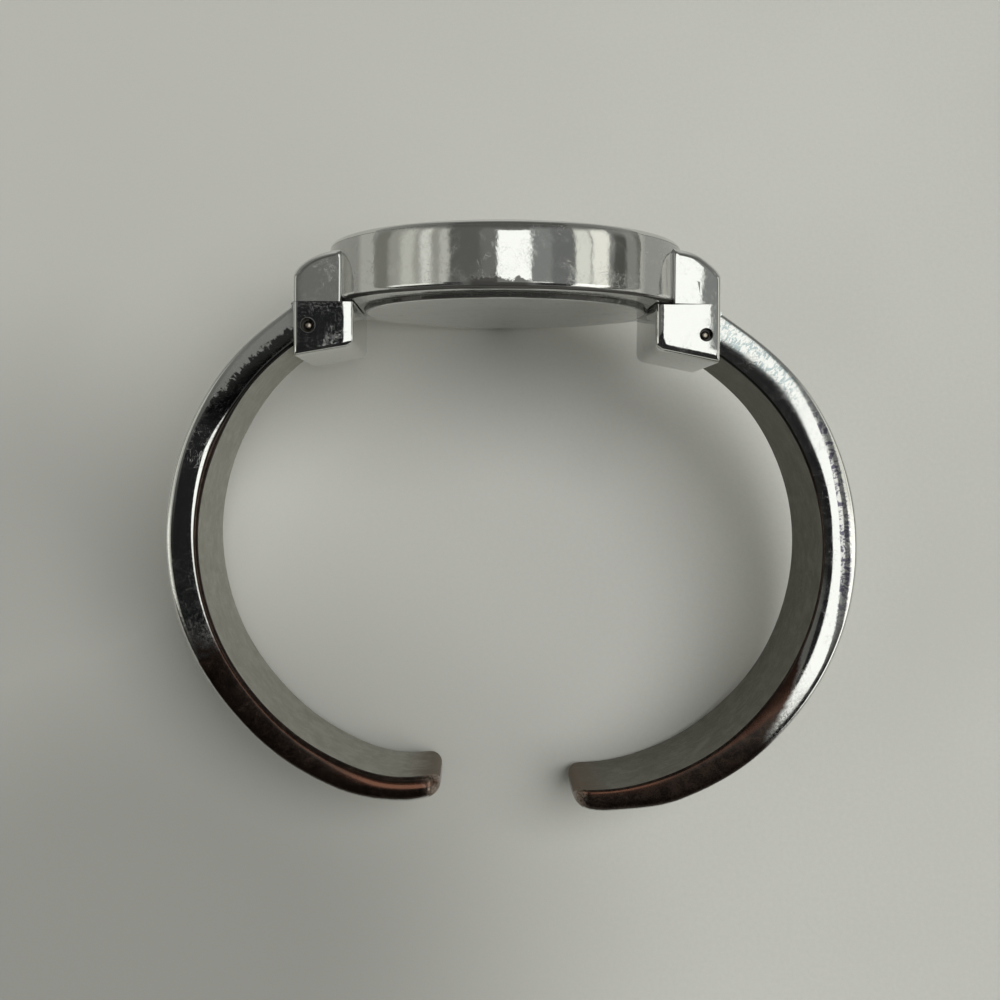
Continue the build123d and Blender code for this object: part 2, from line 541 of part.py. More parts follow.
# ---------------------------------------------------------------------------
# lay the watch on its side and put the origin under its middle
# ---------------------------------------------------------------------------
lay = Rot(TILT - 90, 0, 0)
lo, hi = [1e9] * 3, [-1e9] * 3
for name, shape in parts.items():
    parts[name] = lay * shape
    verts, _ = parts[name].tessellate(0.01, 0.05)
    for v in verts:
        for i, q in enumerate((v.X, v.Y, v.Z)):
            lo[i], hi[i] = min(lo[i], q), max(hi[i], q)
shift = Pos(-(lo[0] + hi[0]) / 2, -(lo[1] + hi[1]) / 2, -lo[2])
print("size", [round(h - l, 3) for l, h in zip(lo, hi)], "shift", [round(q, 4) for q in (-(lo[0] + hi[0]) / 2, -(lo[1] + hi[1]) / 2, -lo[2])])
for name, shape in parts.items():
    export_step(shift * shape, f"parts/{name}.step")
print(len(parts), "nodes")
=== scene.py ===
import json
import math

import bmesh
import bpy
import numpy as np
from mathutils import Matrix, Vector


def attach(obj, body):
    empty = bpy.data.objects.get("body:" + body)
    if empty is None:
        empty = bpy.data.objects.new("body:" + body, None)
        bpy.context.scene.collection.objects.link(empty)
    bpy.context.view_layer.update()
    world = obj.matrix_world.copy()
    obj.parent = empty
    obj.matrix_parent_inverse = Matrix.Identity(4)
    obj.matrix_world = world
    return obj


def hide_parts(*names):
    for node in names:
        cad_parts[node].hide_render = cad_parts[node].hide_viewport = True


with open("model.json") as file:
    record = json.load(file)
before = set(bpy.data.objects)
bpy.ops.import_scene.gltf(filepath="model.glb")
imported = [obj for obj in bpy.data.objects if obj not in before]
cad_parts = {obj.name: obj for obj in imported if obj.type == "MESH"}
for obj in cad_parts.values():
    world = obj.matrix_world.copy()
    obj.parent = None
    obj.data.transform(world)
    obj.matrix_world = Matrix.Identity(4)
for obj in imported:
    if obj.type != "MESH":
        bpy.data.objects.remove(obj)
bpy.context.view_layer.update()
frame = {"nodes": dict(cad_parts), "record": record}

# ---------------------------------------------------------------------------
# Watch frame, in mm: X across the cuff, Y the dial's normal, Z towards the
# side that faces up as the watch lies. The row frame is that one tipped by
# 15.4 degrees and shifted, in metres.
# ---------------------------------------------------------------------------
CT, ST = math.cos(math.radians(15.4)), math.sin(math.radians(15.4))
SHIFT = np.array([-0.747, 2.223, 13.9109])
W2R = np.array([[1, 0, 0], [0, CT, -ST], [0, ST, CT]])
rad = math.radians


def row(p):
    return (np.asarray(p, float).reshape(-1, 3) @ W2R.T + SHIFT) / 1000.0


def row_dir(v):
    return Vector(W2R @ np.asarray(v, float))


# sizes of the case, lugs and arms
CASE_R, CASE_BOT, CASE_TOP, RIM_TOP = 17.0, 17.10, 22.55, 22.95
BORE_R, LEDGE_R, LEDGE_Z, SEAT_Z, BEZEL_BORE_R, BACK_RECESS_R = 14.30, 14.00, 20.90, 21.95, 16.0, 14.75
LUG_HALF, SEAM = 7.6, 17.0
L_OUT, L_IN, R_OUT, R_IN = -19.58, -14.08, 19.72, 13.75
L_PIN, R_PIN = (-18.23, 14.86), (18.38, 14.20)
KNUCKLE_R, KNUCKLE_BORE_R, SLOT_R, SLOT_HALF, SLOT_TOP = 1.62, 0.42, 1.70, 6.58, 18.45
ARM_HALF, ARM_TIP_HALF = 6.42, 5.75
L_INNER = [(-6.05, -27.15), (-10.80, -27.32), (-15.20, -25.90), (-19.25, -23.46), (-23.10, -19.75),
           (-26.00, -15.50), (-28.00, -10.10), (-28.60, -4.30), (-27.80, 1.00), (-25.60, 6.37),
           (-22.86, 10.26), (-18.10, 14.30)]
R_INNER = [(6.30, -28.55), (10.20, -28.42), (14.60, -27.36), (19.30, -25.08), (23.50, -21.58),
           (26.80, -17.20), (28.95, -12.10), (29.83, -6.65), (29.42, -1.60), (27.62, 3.70),
           (24.75, 8.15), (21.10, 11.50), (18.20, 13.55)]
L_THICK = [(0.0, 2.45), (0.06, 2.72), (0.16, 3.05), (0.30, 3.15), (0.55, 3.45), (0.80, 3.52), (1.0, 3.5)]
R_THICK = [(0.0, 2.30), (0.06, 2.66), (0.16, 3.20), (0.30, 3.40), (0.55, 3.70), (0.80, 3.80), (1.0, 3.75)]

COL = bpy.context.scene.collection


# ---------------------------------------------------------------------------
# mesh helpers
# ---------------------------------------------------------------------------
def new_mesh(name, verts, faces, attrs=None, sharp=32.0):
    """Object from watch-frame vertices in mm. attrs: name -> per-vertex scalars or vectors."""
    me = bpy.data.meshes.new(name)
    me.from_pydata([tuple(v) for v in row(verts)], [], [tuple(int(i) for i in f) for f in faces])
    me.validate()
    ob = bpy.data.objects.new(name, me)
    COL.objects.link(ob)
    put_attr(ob, "pc", np.asarray(verts, float))
    for k, v in (attrs or {}).items():
        put_attr(ob, k, np.asarray(v, float))
    shade(ob, sharp)
    return ob


def put_attr(ob, key, values):
    kind = "FLOAT_VECTOR" if values.ndim == 2 else "FLOAT"
    a = ob.data.attributes.get(key) or ob.data.attributes.new(key, kind, "POINT")
    a.data.foreach_set("vector" if values.ndim == 2 else "value", values.astype(np.float32).ravel())


def shade(ob, sharp=32.0):
    me = ob.data
    bm = bmesh.new()
    bm.from_mesh(me)
    bmesh.ops.recalc_face_normals(bm, faces=bm.faces)
    bm.to_mesh(me)
    bm.free()
    me.polygons.foreach_set("use_smooth", [True] * len(me.polygons))
    me.set_sharp_from_angle(angle=rad(sharp))
    me.update()


def cutter(name, verts, faces):
    ob = new_mesh(name, verts, faces)
    return ob


def boolean(ob, other, op, sharp=32.0, keep=False):
    m = ob.modifiers.new("b", "BOOLEAN")
    m.operation = op
    m.object = other
    m.solver = "EXACT"
    dg = bpy.context.evaluated_depsgraph_get()
    dg.update()
    me = bpy.data.meshes.new_from_object(ob.evaluated_get(dg), preserve_all_data_layers=True, depsgraph=dg)
    ob.modifiers.clear()
    old = ob.data
    ob.data = me
    me.name = ob.name
    bpy.data.meshes.remove(old)
    if not keep:
        d = other.data
        bpy.data.objects.remove(other)
        bpy.data.meshes.remove(d)
    bm = bmesh.new()
    bm.from_mesh(me)
    bmesh.ops.remove_doubles(bm, verts=bm.verts, dist=1e-8)
    bmesh.ops.dissolve_degenerate(bm, edges=bm.edges, dist=1e-8)
    bm.to_mesh(me)
    bm.free()
    place(ob)
    shade(ob, sharp)
    return ob


def place(ob):
    """Each vertex's own position in the watch frame, in mm, for the textures."""
    co = np.zeros(len(ob.data.vertices) * 3, np.float32)
    ob.data.vertices.foreach_get("co", co)
    p = (co.reshape(-1, 3).astype(float) * 1000 - SHIFT) @ W2R
    put_attr(ob, "pc", p)
    return p


def rounded(points, radii, closed=True, step=9.0, longest=0.5, support=0.05):
    """Polyline with its corners rounded and its long runs divided, as an array of points."""
    p = [np.array(q, float) for q in points]
    n = len(p)
    out = []
    for i in range(n):
        r = radii[i]
        if r <= 0 or (not closed and i in (0, n - 1)):
            out.append(("c", p[i]))
            continue
        a, b, c = p[i - 1], p[i], p[(i + 1) % n]
        u, v = (a - b) / np.linalg.norm(a - b), (c - b) / np.linalg.norm(c - b)
        half = math.acos(max(-1, min(1, float(u @ v)))) / 2
        d = r / math.tan(half)
        s, e = b + u * d, b + v * d
        mid = (u + v) / np.linalg.norm(u + v)
        o = b + mid * r / math.sin(half)
        a0 = math.atan2(*(s - o)[::-1])
        a1 = math.atan2(*(e - o)[::-1])
        da = (a1 - a0 + math.pi) % (2 * math.pi) - math.pi
        k = max(2, int(math.ceil(abs(math.degrees(da)) / step)))
        for j in range(k + 1):
            t = a0 + da * j / k
            out.append(("a", o + r * np.array([math.cos(t), math.sin(t)])))
    pts = []
    m = len(out)
    for i in range(m if closed else m - 1):
        (ka, a), (kb, b) = out[i], out[(i + 1) % m]
        pts.append(a)
        L = np.linalg.norm(b - a)
        if L > 0.16:
            stops = [0.0]
            if L > 4 * support:
                stops += [support / L]
            k = max(1, int(math.ceil((L - 2 * support) / longest)))
            stops += [(support + (L - 2 * support) * j / k) / L for j in range(1, k)]
            if L > 4 * support:
                stops += [1 - support / L]
            for s in stops[1:]:
                pts.append(a + (b - a) * s)
    if not closed:
        pts.append(out[-1][1])
    return np.array(pts)


def revolve(name, profile, closed=True, seg=360, sharp=32.0, wave=None):
    """Profile of (radius, height) turned about the watch's Y axis."""
    prof = np.asarray(profile, float)
    verts, faces, rows = [], [], []
    ang = np.arange(seg) * 2 * math.pi / seg
    for r, y in prof:
        if r < 1e-6:
            rows.append([len(verts)])
            verts.append((0, y, 0))
            continue
        base = len(verts)
        rows.append(list(range(base, base + seg)))
        for a in ang:
            rr = r + (wave(a, y) if wave else 0.0)
            verts.append((rr * math.cos(a), y, rr * math.sin(a)))
    m = len(rows)
    for i in range(m if closed else m - 1):
        A, B = rows[i], rows[(i + 1) % m]
        if len(A) == 1 and len(B) == 1:
            continue
        for j in range(seg):
            k = (j + 1) % seg
            if len(A) == 1:
                faces.append((A[0], B[k], B[j]))
            elif len(B) == 1:
                faces.append((A[j], A[k], B[0]))
            else:
                faces.append((A[j], A[k], B[k], B[j]))
    return new_mesh(name, verts, faces, sharp=sharp)


def tube_solid(name, axis_point, axis, radius, length, seg=48, cone=0.0):
    """Closed cylinder about a watch-frame axis, for cutting and for small round pieces."""
    c = np.array(axis_point, float)
    a = np.array(axis, float)
    a /= np.linalg.norm(a)
    u = np.cross(a, [0.31, 0.72, 0.19])
    u /= np.linalg.norm(u)
    v = np.cross(a, u)
    verts, faces = [], []
    for e, rr in ((-0.5, radius), (0.5, radius + cone)):
        for j in range(seg):
            t = 2 * math.pi * j / seg
            verts.append(c + a * length * e + rr * (u * math.cos(t) + v * math.sin(t)))
    for j in range(seg):
        k = (j + 1) % seg
        faces.append((j, k, seg + k, seg + j))
    faces += [tuple(range(seg))[::-1], tuple(range(seg, 2 * seg))]
    return new_mesh(name, verts, faces)


def prism(name, outline, z0, z1):
    """Closed prism of an outline in X and Y, from z0 to z1."""
    o = np.asarray(outline, float)
    n = len(o)
    verts = [(x, y, z0) for x, y in o] + [(x, y, z1) for x, y in o]
    faces = [(i, (i + 1) % n, n + (i + 1) % n, n + i) for i in range(n)]
    faces += [tuple(range(n))[::-1], tuple(range(n, 2 * n))]
    return new_mesh(name, verts, faces)


def joined(objs, name):
    """One object out of several closed shells."""
    verts, faces, attrs = [], [], {}
    for o in objs:
        me = o.data
        base = len(verts)
        verts += [tuple(v.co) for v in me.vertices]
        faces += [tuple(i + base for i in p.vertices) for p in me.polygons]
    me = bpy.data.meshes.new(name)
    me.from_pydata(verts, [], faces)
    ob = bpy.data.objects.new(name, me)
    COL.objects.link(ob)
    for o in objs:
        d = o.data
        bpy.data.objects.remove(o)
        bpy.data.meshes.remove(d)
    back = (np.array(verts) * 1000 - SHIFT) @ W2R
    put_attr(ob, "pc", back)
    shade(ob)
    return ob


def give(ob, mat, body, nodes=()):
    ob.data.materials.clear()
    ob.data.materials.append(mat)
    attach(ob, body)
    if nodes:
        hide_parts(*nodes)
    return ob


# ---------------------------------------------------------------------------
# shader helpers
# ---------------------------------------------------------------------------
class Sock:
    """A node socket with arithmetic."""

    def __init__(self, g, s):
        self.g, self.s = g, s

    def _m(self, op, *o):
        return self.g.math(op, self, *o)

    def __add__(self, o): return self._m("ADD", o)
    def __radd__(self, o): return self._m("ADD", o)
    def __sub__(self, o): return self._m("SUBTRACT", o)
    def __rsub__(self, o): return self.g.math("SUBTRACT", o, self)
    def __mul__(self, o): return self._m("MULTIPLY", o)
    def __rmul__(self, o): return self._m("MULTIPLY", o)
    def __truediv__(self, o): return self._m("DIVIDE", o)
    def pow(self, o): return self._m("POWER", o)
    def max(self, o): return self._m("MAXIMUM", o)
    def min(self, o): return self._m("MINIMUM", o)
    def abs(self): return self._m("ABSOLUTE")


class Graph:
    def __init__(self, tree):
        self.t = tree

    def put(self, sock, v):
        if isinstance(v, Sock):
            self.t.links.new(v.s, sock)
        elif v is not None:
            if hasattr(sock.default_value, "__len__") and not isinstance(v, (int, float)):
                want = len(sock.default_value)
                v = tuple(v)[:want] + (1.0,) * (want - len(tuple(v)[:want]))
            sock.default_value = v

    def node(self, kind, out=0, ins=None, **props):
        n = self.t.nodes.new(kind)
        for k, v in props.items():
            setattr(n, k, v)
        for k, v in (ins or {}).items():
            self.put(n.inputs[k], v)
        return n if out is None else Sock(self, n.outputs[out])

    def math(self, op, *a):
        n = self.t.nodes.new("ShaderNodeMath")
        n.operation = op
        for i, v in enumerate(a):
            self.put(n.inputs[i], v)
        return Sock(self, n.outputs[0])

    def vmath(self, op, a, b=None, out=0):
        n = self.t.nodes.new("ShaderNodeVectorMath")
        n.operation = op
        self.put(n.inputs[0], a)
        if b is not None:
            self.put(n.inputs[1], b)
        return Sock(self, n.outputs["Value" if op in ("DOT_PRODUCT", "LENGTH", "DISTANCE") else "Vector"])

    def ss(self, lo, hi, x, a=0.0, b=1.0):
        """Smooth step from a at lo to b at hi."""
        n = self.t.nodes.new("ShaderNodeMapRange")
        n.interpolation_type = "SMOOTHSTEP"
        self.put(n.inputs["Value"], x)
        for k, v in (("From Min", lo), ("From Max", hi), ("To Min", a), ("To Max", b)):
            self.put(n.inputs[k], v)
        return Sock(self, n.outputs["Result"])

    def lin(self, lo, hi, x, a=0.0, b=1.0):
        n = self.t.nodes.new("ShaderNodeMapRange")
        n.interpolation_type = "LINEAR"
        n.clamp = True
        self.put(n.inputs["Value"], x)
        for k, v in (("From Min", lo), ("From Max", hi), ("To Min", a), ("To Max", b)):
            self.put(n.inputs[k], v)
        return Sock(self, n.outputs["Result"])

    def mix(self, f, a, b):
        """Colour mix."""
        n = self.t.nodes.new("ShaderNodeMix")
        n.data_type = "RGBA"
        self.put(n.inputs[0], f)
        self.put(n.inputs[6], a)
        self.put(n.inputs[7], b)
        return Sock(self, n.outputs[2])

    def attr(self, name, out="Vector"):
        n = self.t.nodes.new("ShaderNodeAttribute")
        n.attribute_name = name
        return Sock(self, n.outputs[out])

    def sep(self, v):
        n = self.t.nodes.new("ShaderNodeSeparateXYZ")
        self.put(n.inputs[0], v)
        return [Sock(self, n.outputs[i]) for i in range(3)]

    def com(self, x, y, z):
        n = self.t.nodes.new("ShaderNodeCombineXYZ")
        for i, v in enumerate((x, y, z)):
            self.put(n.inputs[i], v)
        return Sock(self, n.outputs[0])

    def turned(self, v, deg, scale=(1, 1, 1), axis="Z"):
        n = self.t.nodes.new("ShaderNodeMapping")
        self.put(n.inputs["Vector"], v)
        r = {"X": (rad(deg), 0, 0), "Y": (0, rad(deg), 0), "Z": (0, 0, rad(deg))}[axis]
        n.inputs["Rotation"].default_value = r
        n.inputs["Scale"].default_value = scale
        return Sock(self, n.outputs[0])

    def noise(self, v, scale, detail=3.0, rough=0.55, dist=0.0, out=0):
        n = self.t.nodes.new("ShaderNodeTexNoise")
        self.put(n.inputs["Vector"], v)
        n.inputs["Scale"].default_value = scale
        n.inputs["Detail"].default_value = detail
        n.inputs["Roughness"].default_value = rough
        n.inputs["Distortion"].default_value = dist
        return Sock(self, n.outputs[out])

    def voronoi(self, v, scale, feature="DISTANCE_TO_EDGE", out="Distance", rnd=1.0):
        n = self.t.nodes.new("ShaderNodeTexVoronoi")
        n.feature = feature
        self.put(n.inputs["Vector"], v)
        n.inputs["Scale"].default_value = scale
        n.inputs["Randomness"].default_value = rnd
        return Sock(self, n.outputs[out])

    def bump(self, h, strength, dist=0.001, normal=None):
        n = self.t.nodes.new("ShaderNodeBump")
        self.put(n.inputs["Height"], h)
        n.inputs["Strength"].default_value = strength
        n.inputs["Distance"].default_value = dist
        if normal is not None:
            self.put(n.inputs["Normal"], normal)
        return Sock(self, n.outputs[0])


def material(name):
    m = bpy.data.materials.new(name)
    m.use_nodes = True
    nt = m.node_tree
    b = next(n for n in nt.nodes if n.type == "BSDF_PRINCIPLED")
    return m, Graph(nt), b


def obj_mm(g):
    """Object coordinates in mm, for CAD pieces."""
    tc = g.node("ShaderNodeTexCoord", out="Object")
    return g.turned(tc, 0, (1000, 1000, 1000))


def scratches(g, v, angle, length=2.2, width=0.05, keep=0.70, axis="Z"):
    """Thin straight lines about length by width mm, running at angle."""
    q = g.turned(v, angle, (1.0 / length, 1.0 / width, 1.0 / max(width * 6, 0.4)), axis)
    q = g.turned(v, angle, (1.0, 1.0, 1.0), axis)
    q = g.turned(q, 0, (1.0 / length, 1.0 / width, 1.0 / length))
    n = g.noise(q, 1.0, 1.0, 0.4)
    return g.ss(keep, keep + 0.07, n)


def curls(g, v, scale, width, seed, dist=1.6):
    """Fine wandering lines, such as rubbing leaves on soft plating."""
    n = g.noise(g.vmath("ADD", v, (seed, seed * 0.7, seed * 1.9)), scale, 1.5, 0.5, dist)
    return g.ss(width, width * 0.35, (n - 0.5).abs())


def chrome(name, color=(0.70, 0.705, 0.685), lo=0.04, hi=0.30, smudge=0.5, scratch=0.5, wave=0.3, coords="pc", plane="XY", seed=0.0, painted_shade=None, haze=0.10, rag=0.035, relief=0.30):
    """Polished plating gone a little dull: a wavy mirror under smudges, curls and fine straight scratches, which scatter light."""
    m, g, b = material(name)
    p0 = g.attr(coords) if coords else obj_mm(g)
    v = g.vmath("ADD", p0, (seed * 7.3, seed * 3.1, seed * 5.7))
    big = g.noise(v, 0.23, 3.0, 0.6, 0.4)
    mid = g.noise(v, 0.75, 5.0, 0.62, 0.9)
    fine = g.noise(v, 4.5, 5.0, 0.68, 0.3)
    speck = g.noise(v, 14.0, 2.0, 0.6)
    sm = g.ss(0.47, 0.70, mid * 0.6 + fine * 0.4) * g.ss(0.36, 0.60, big)
    lines = None
    axis = {"XY": "Z", "XZ": "Y", "YZ": "X"}[plane]
    for a, ln, w, kp in ((12, 2.6, 0.07, 0.70), (-38, 1.9, 0.06, 0.71), (71, 1.6, 0.06, 0.72), (-80, 2.2, 0.08, 0.73)):
        t = scratches(g, v, a + seed * 23, ln, w, kp, axis)
        lines = t if lines is None else lines.max(t)
    curl = curls(g, v, 0.85, 0.0045, 3.0 + seed).max(curls(g, v, 1.7, 0.006, 11.0 + seed, 0.8) * 0.7)
    area = g.ss(0.52, 0.64, g.noise(v, 0.45, 2.0, 0.5))
    lines = (lines * 0.7).max(curl * 0.8) * area
    rough = sm * smudge + lines * scratch * 0.5 + g.ss(0.40, 0.70, fine) * 0.16
    g.put(b.inputs["Roughness"], g.lin(0.0, 1.0, rough, lo, hi))
    dull = (sm * smudge * haze * 2.6 + lines * scratch * 0.5 + g.ss(0.56, 0.75, speck) * 0.05 + haze * 0.25).min(0.8)
    tone = g.mix(sm * 0.4, color, tuple(c * 0.88 for c in color))
    # painted shade: where the painted_shade mask is set, the tone goes near black and the plating dull
    if painted_shade is not None:
        mask = painted_shade(g, p0, fine)
        tone = g.mix(mask, tone, (0.020, 0.016, 0.012))
        dull = dull * (1.0 - mask) + mask * 0.7
    g.put(b.inputs["Base Color"], tone)
    g.put(b.inputs["Metallic"], 1.0 - dull)
    h = g.noise(v, 0.17, 1.0, 0.4) * 0.9 + g.noise(v, 0.55, 2.0, 0.5) * 0.16 + g.noise(v, 1.5, 3.0, 0.6) * rag
    n1 = g.bump(h, wave, 0.00024)
    n2 = g.bump(lines * -relief + fine * 0.30, scratch * 0.30, 0.000014, n1)
    g.put(b.inputs["Normal"], n2)
    return m


# ---------------------------------------------------------------------------
# case: drum, hoods, hinge blocks
# ---------------------------------------------------------------------------
def shoulder(y):
    """How far the band has drawn in towards its top, mm: upright to 21.45, then leaning in to 12 degrees at the bezel."""
    u = max(0.0, y - 21.45)
    return 0.066 * u * u + 0.020 * u ** 3


drum_pts = [(BORE_R, CASE_BOT + 0.35), (BACK_RECESS_R, CASE_BOT + 0.35), (BACK_RECESS_R, CASE_BOT), (CASE_R, CASE_BOT),
            *[(CASE_R - shoulder(y), y) for y in np.linspace(21.45, CASE_TOP, 12)],
            (BEZEL_BORE_R, CASE_TOP), (BEZEL_BORE_R, SEAT_Z), (LEDGE_R, SEAT_Z), (LEDGE_R, LEDGE_Z), (BORE_R, LEDGE_Z)]
drum_rad = [0, 0, 0.08, 0.62, *[0] * 11, 0.03, 0.05, 0, 0.05, 0, 0]
drum = revolve("case_band", rounded(drum_pts, drum_rad, step=7.0, longest=0.45), seg=420)
drum = boolean(drum, tube_solid("c", (0, 19.2, -15.5), (0, 0, 1), 1.0, 6.0, 40), "DIFFERENCE")


def spline2(pts, slopes=None):
    """Natural cubic through 2-D knots: a function of 0..1 by chord length, with its tangent."""
    p = np.array(pts, float)
    d = np.r_[0, np.cumsum(np.linalg.norm(np.diff(p, axis=0), axis=1))]
    n = len(p)
    h = np.diff(d)
    A, B = np.zeros((n, n)), np.zeros((n, 2))
    A[0, 0] = A[-1, -1] = 1
    for i in range(1, n - 1):
        A[i, i - 1], A[i, i], A[i, i + 1] = h[i - 1], 2 * (h[i - 1] + h[i]), h[i]
        B[i] = 6 * ((p[i + 1] - p[i]) / h[i] - (p[i] - p[i - 1]) / h[i - 1])
    if slopes is not None:
        a, b = (np.array(q, float) / np.linalg.norm(q) for q in slopes)
        A[0, 0], A[0, 1] = 2 * h[0], h[0]
        B[0] = 6 * ((p[1] - p[0]) / h[0] - a)
        A[-1, -1], A[-1, -2] = 2 * h[-1], h[-1]
        B[-1] = 6 * (b - (p[-1] - p[-2]) / h[-1])
    M = np.linalg.solve(A, B)

    def at(x):
        x = np.clip(np.atleast_1d(x), 0, d[-1])
        i = np.clip(np.searchsorted(d, x, side="right") - 1, 0, n - 2)
        u, w = (d[i + 1] - x)[:, None], (x - d[i])[:, None]
        H = h[i][:, None]
        return (M[i] * u ** 3 + M[i + 1] * w ** 3) / (6 * H) + (p[i] / H - M[i] * H / 6) * u + (p[i + 1] / H - M[i + 1] * H / 6) * w

    fine = np.linspace(0, d[-1], 4001)
    q = at(fine)
    s = np.r_[0, np.cumsum(np.linalg.norm(np.diff(q, axis=0), axis=1))]

    def by_length(x):
        return at(np.interp(x, s, fine))

    def tangent(x):
        e = 1e-3
        t = by_length(np.clip(np.asarray(x) + e, 0, s[-1])) - by_length(np.clip(np.asarray(x) - e, 0, s[-1]))
        return t / np.linalg.norm(t, axis=1)[:, None]

    return by_length, tangent, s[-1]


def lerp_table(t, table):
    xs, ys = zip(*table)
    return float(np.interp(t, xs, ys))


def plate(name, outline, rim, fall, centre, half, lean=(0.0, 0.0)):
    """Thick plate of a convex outline in X and Y, half thick each way along Z. At each outline point, rim is the radius of the edge,
    and fall gives how far the face has dropped at X and Y towards its sides."""
    p = np.asarray(outline, float)
    n = len(p)
    nxt = np.roll(p, -1, 0)
    e = nxt - p
    e /= np.linalg.norm(e, axis=1)[:, None]
    area = 0.5 * np.sum(p[:, 0] * nxt[:, 1] - nxt[:, 0] * p[:, 1])
    en = np.c_[-e[:, 1], e[:, 0]] * (1 if area > 0 else -1)
    c = np.array(centre, float)
    room = np.min(np.sum((c - p) * en, axis=1))
    u = p - c
    full = np.linalg.norm(u, axis=1)
    u /= full[:, None]
    rim = np.asarray(rim, float)
    ds = {0.0}
    for r in (0.12, 0.28, 0.45, 0.72):
        ds |= {round(r * (1 - math.cos(rad(q))), 4) for q in range(9, 91, 9)}
    ds = sorted(ds)
    keep = [ds[0]]
    for d in ds[1:]:
        if d - keep[-1] > 0.006 + 0.12 * keep[-1]:
            keep.append(d)
    d = keep[-1]
    while d + 0.16 < room * 0.92:
        d += 0.16
        keep.append(d)
    ks = np.sum((c - p) * en, axis=1)          # distance of the centre from each side
    rings = []
    un = u @ en.T
    for d in keep:
        with np.errstate(divide="ignore", invalid="ignore"):
            q = (d - ks[None, :]) / un
        q[un > -1e-6] = np.inf
        rho = np.min(q, axis=1)
        rings.append((d, c + u * rho[:, None]))
    last = rings[-1]
    for k in (0.66, 0.33):
        rings.append((None, c + (last[1] - c) * k))

    def drop(pts):
        dd = np.min(np.einsum("ijk,jk->ij", pts[:, None, :] - p[None, :, :], en), axis=1)
        dd = np.maximum(dd, 0)
        rr = np.maximum(rim, 1e-4)
        a1 = np.where(dd < rr, rr - np.sqrt(np.maximum(0, rr ** 2 - (rr - dd) ** 2)), 0)
        return a1 + fall(pts[:, 0], pts[:, 1])

    verts, rows = [], []
    layers = []
    for d, pts in rings:
        layers.append((pts, half - drop(pts) + lean[0] * (pts[:, 0] - c[0]) + lean[1] * (pts[:, 1] - c[1])))
    near_top = layers[0][1]
    order = [(q, -z) for q, z in reversed(layers)]
    for t in (0.04, 0.3, 0.5, 0.7, 0.96):
        order.append((p, near_top * (2 * t - 1)))
    order += layers
    for q, z in order:
        rows.append(len(verts))
        verts += [(x, y, zz) for (x, y), zz in zip(q, z)]
    faces = []
    for r0, r1 in zip(rows, rows[1:]):
        for i in range(n):
            j = (i + 1) % n
            faces.append((r0 + i, r0 + j, r1 + j, r1 + i))
    lo, hi = len(verts), len(verts) + 1
    verts += [(c[0], c[1], -half), (c[0], c[1], half)]
    for i in range(n):
        j = (i + 1) % n
        faces.append((rows[0] + j, rows[0] + i, lo))
        faces.append((rows[-1] + i, rows[-1] + j, hi))
    return new_mesh(name, verts, faces)


def ease(d, slope, width):
    """Drop of a face that falls by slope degrees at its side, d away, and comes level after width."""
    return math.tan(rad(slope)) * width / 2 * np.maximum(0, 1 - d / width) ** 2


def sliced(ob, y, keep_above):
    """Cut a piece level at watch height y and close it."""
    me = ob.data
    bm = bmesh.new()
    bm.from_mesh(me)
    co = Vector(row([(0, y, 0)])[0])
    no = row_dir((0, 1, 0))
    geom = bm.verts[:] + bm.edges[:] + bm.faces[:]
    res = bmesh.ops.bisect_plane(bm, geom=geom, plane_co=co, plane_no=no, clear_outer=not keep_above, clear_inner=keep_above, dist=1e-8)
    edges = [x for x in res["geom_cut"] if isinstance(x, bmesh.types.BMEdge)]
    bmesh.ops.holes_fill(bm, edges=edges, sides=0)
    bm.to_mesh(me)
    bm.free()
    place(ob)
    shade(ob)
    return ob


def evenly(points, step):
    """Points put in along the straight runs of an outline so that none is longer than step."""
    out = []
    n = len(points)
    for i in range(n):
        a, b = np.array(points[i], float), np.array(points[(i + 1) % n], float)
        k = max(1, int(math.ceil(np.linalg.norm(b - a) / step)))
        out += [tuple(a + (b - a) * j / k) for j in range(k)]
    return out


def groove(side):
    """Thin wedge along the parting line of the near and far faces, fading out before the outer edge."""
    s = -side
    inn, out = (L_IN, L_OUT) if side < 0 else (R_IN, R_OUT)
    cuts = []
    for e in (-1, 1):
        v, f = [], []
        st = [(inn + s * -0.3, 0.085, 0.16), (inn - s * 1.6, 0.085, 0.16), (inn - s * 2.6, 0.060, 0.12), (inn - s * 3.6, 0.050, 0.10), (out + s * 0.95, 0.030, 0.06)]
        for x, w, d in st:
            v += [(x, SEAM - w, e * (LUG_HALF + 0.05)), (x, SEAM + w, e * (LUG_HALF + 0.05)), (x, SEAM, e * (LUG_HALF - d))]
        for k in range(len(st) - 1):
            for j in range(3):
                q = (j + 1) % 3
                f.append((3 * k + j, 3 * k + q, 3 * k + 3 + q, 3 * k + 3 + j))
        f += [(0, 1, 2), tuple(3 * (len(st) - 1) + j for j in (2, 1, 0))]
        cuts.append(new_mesh("g", v, f))
    return cuts


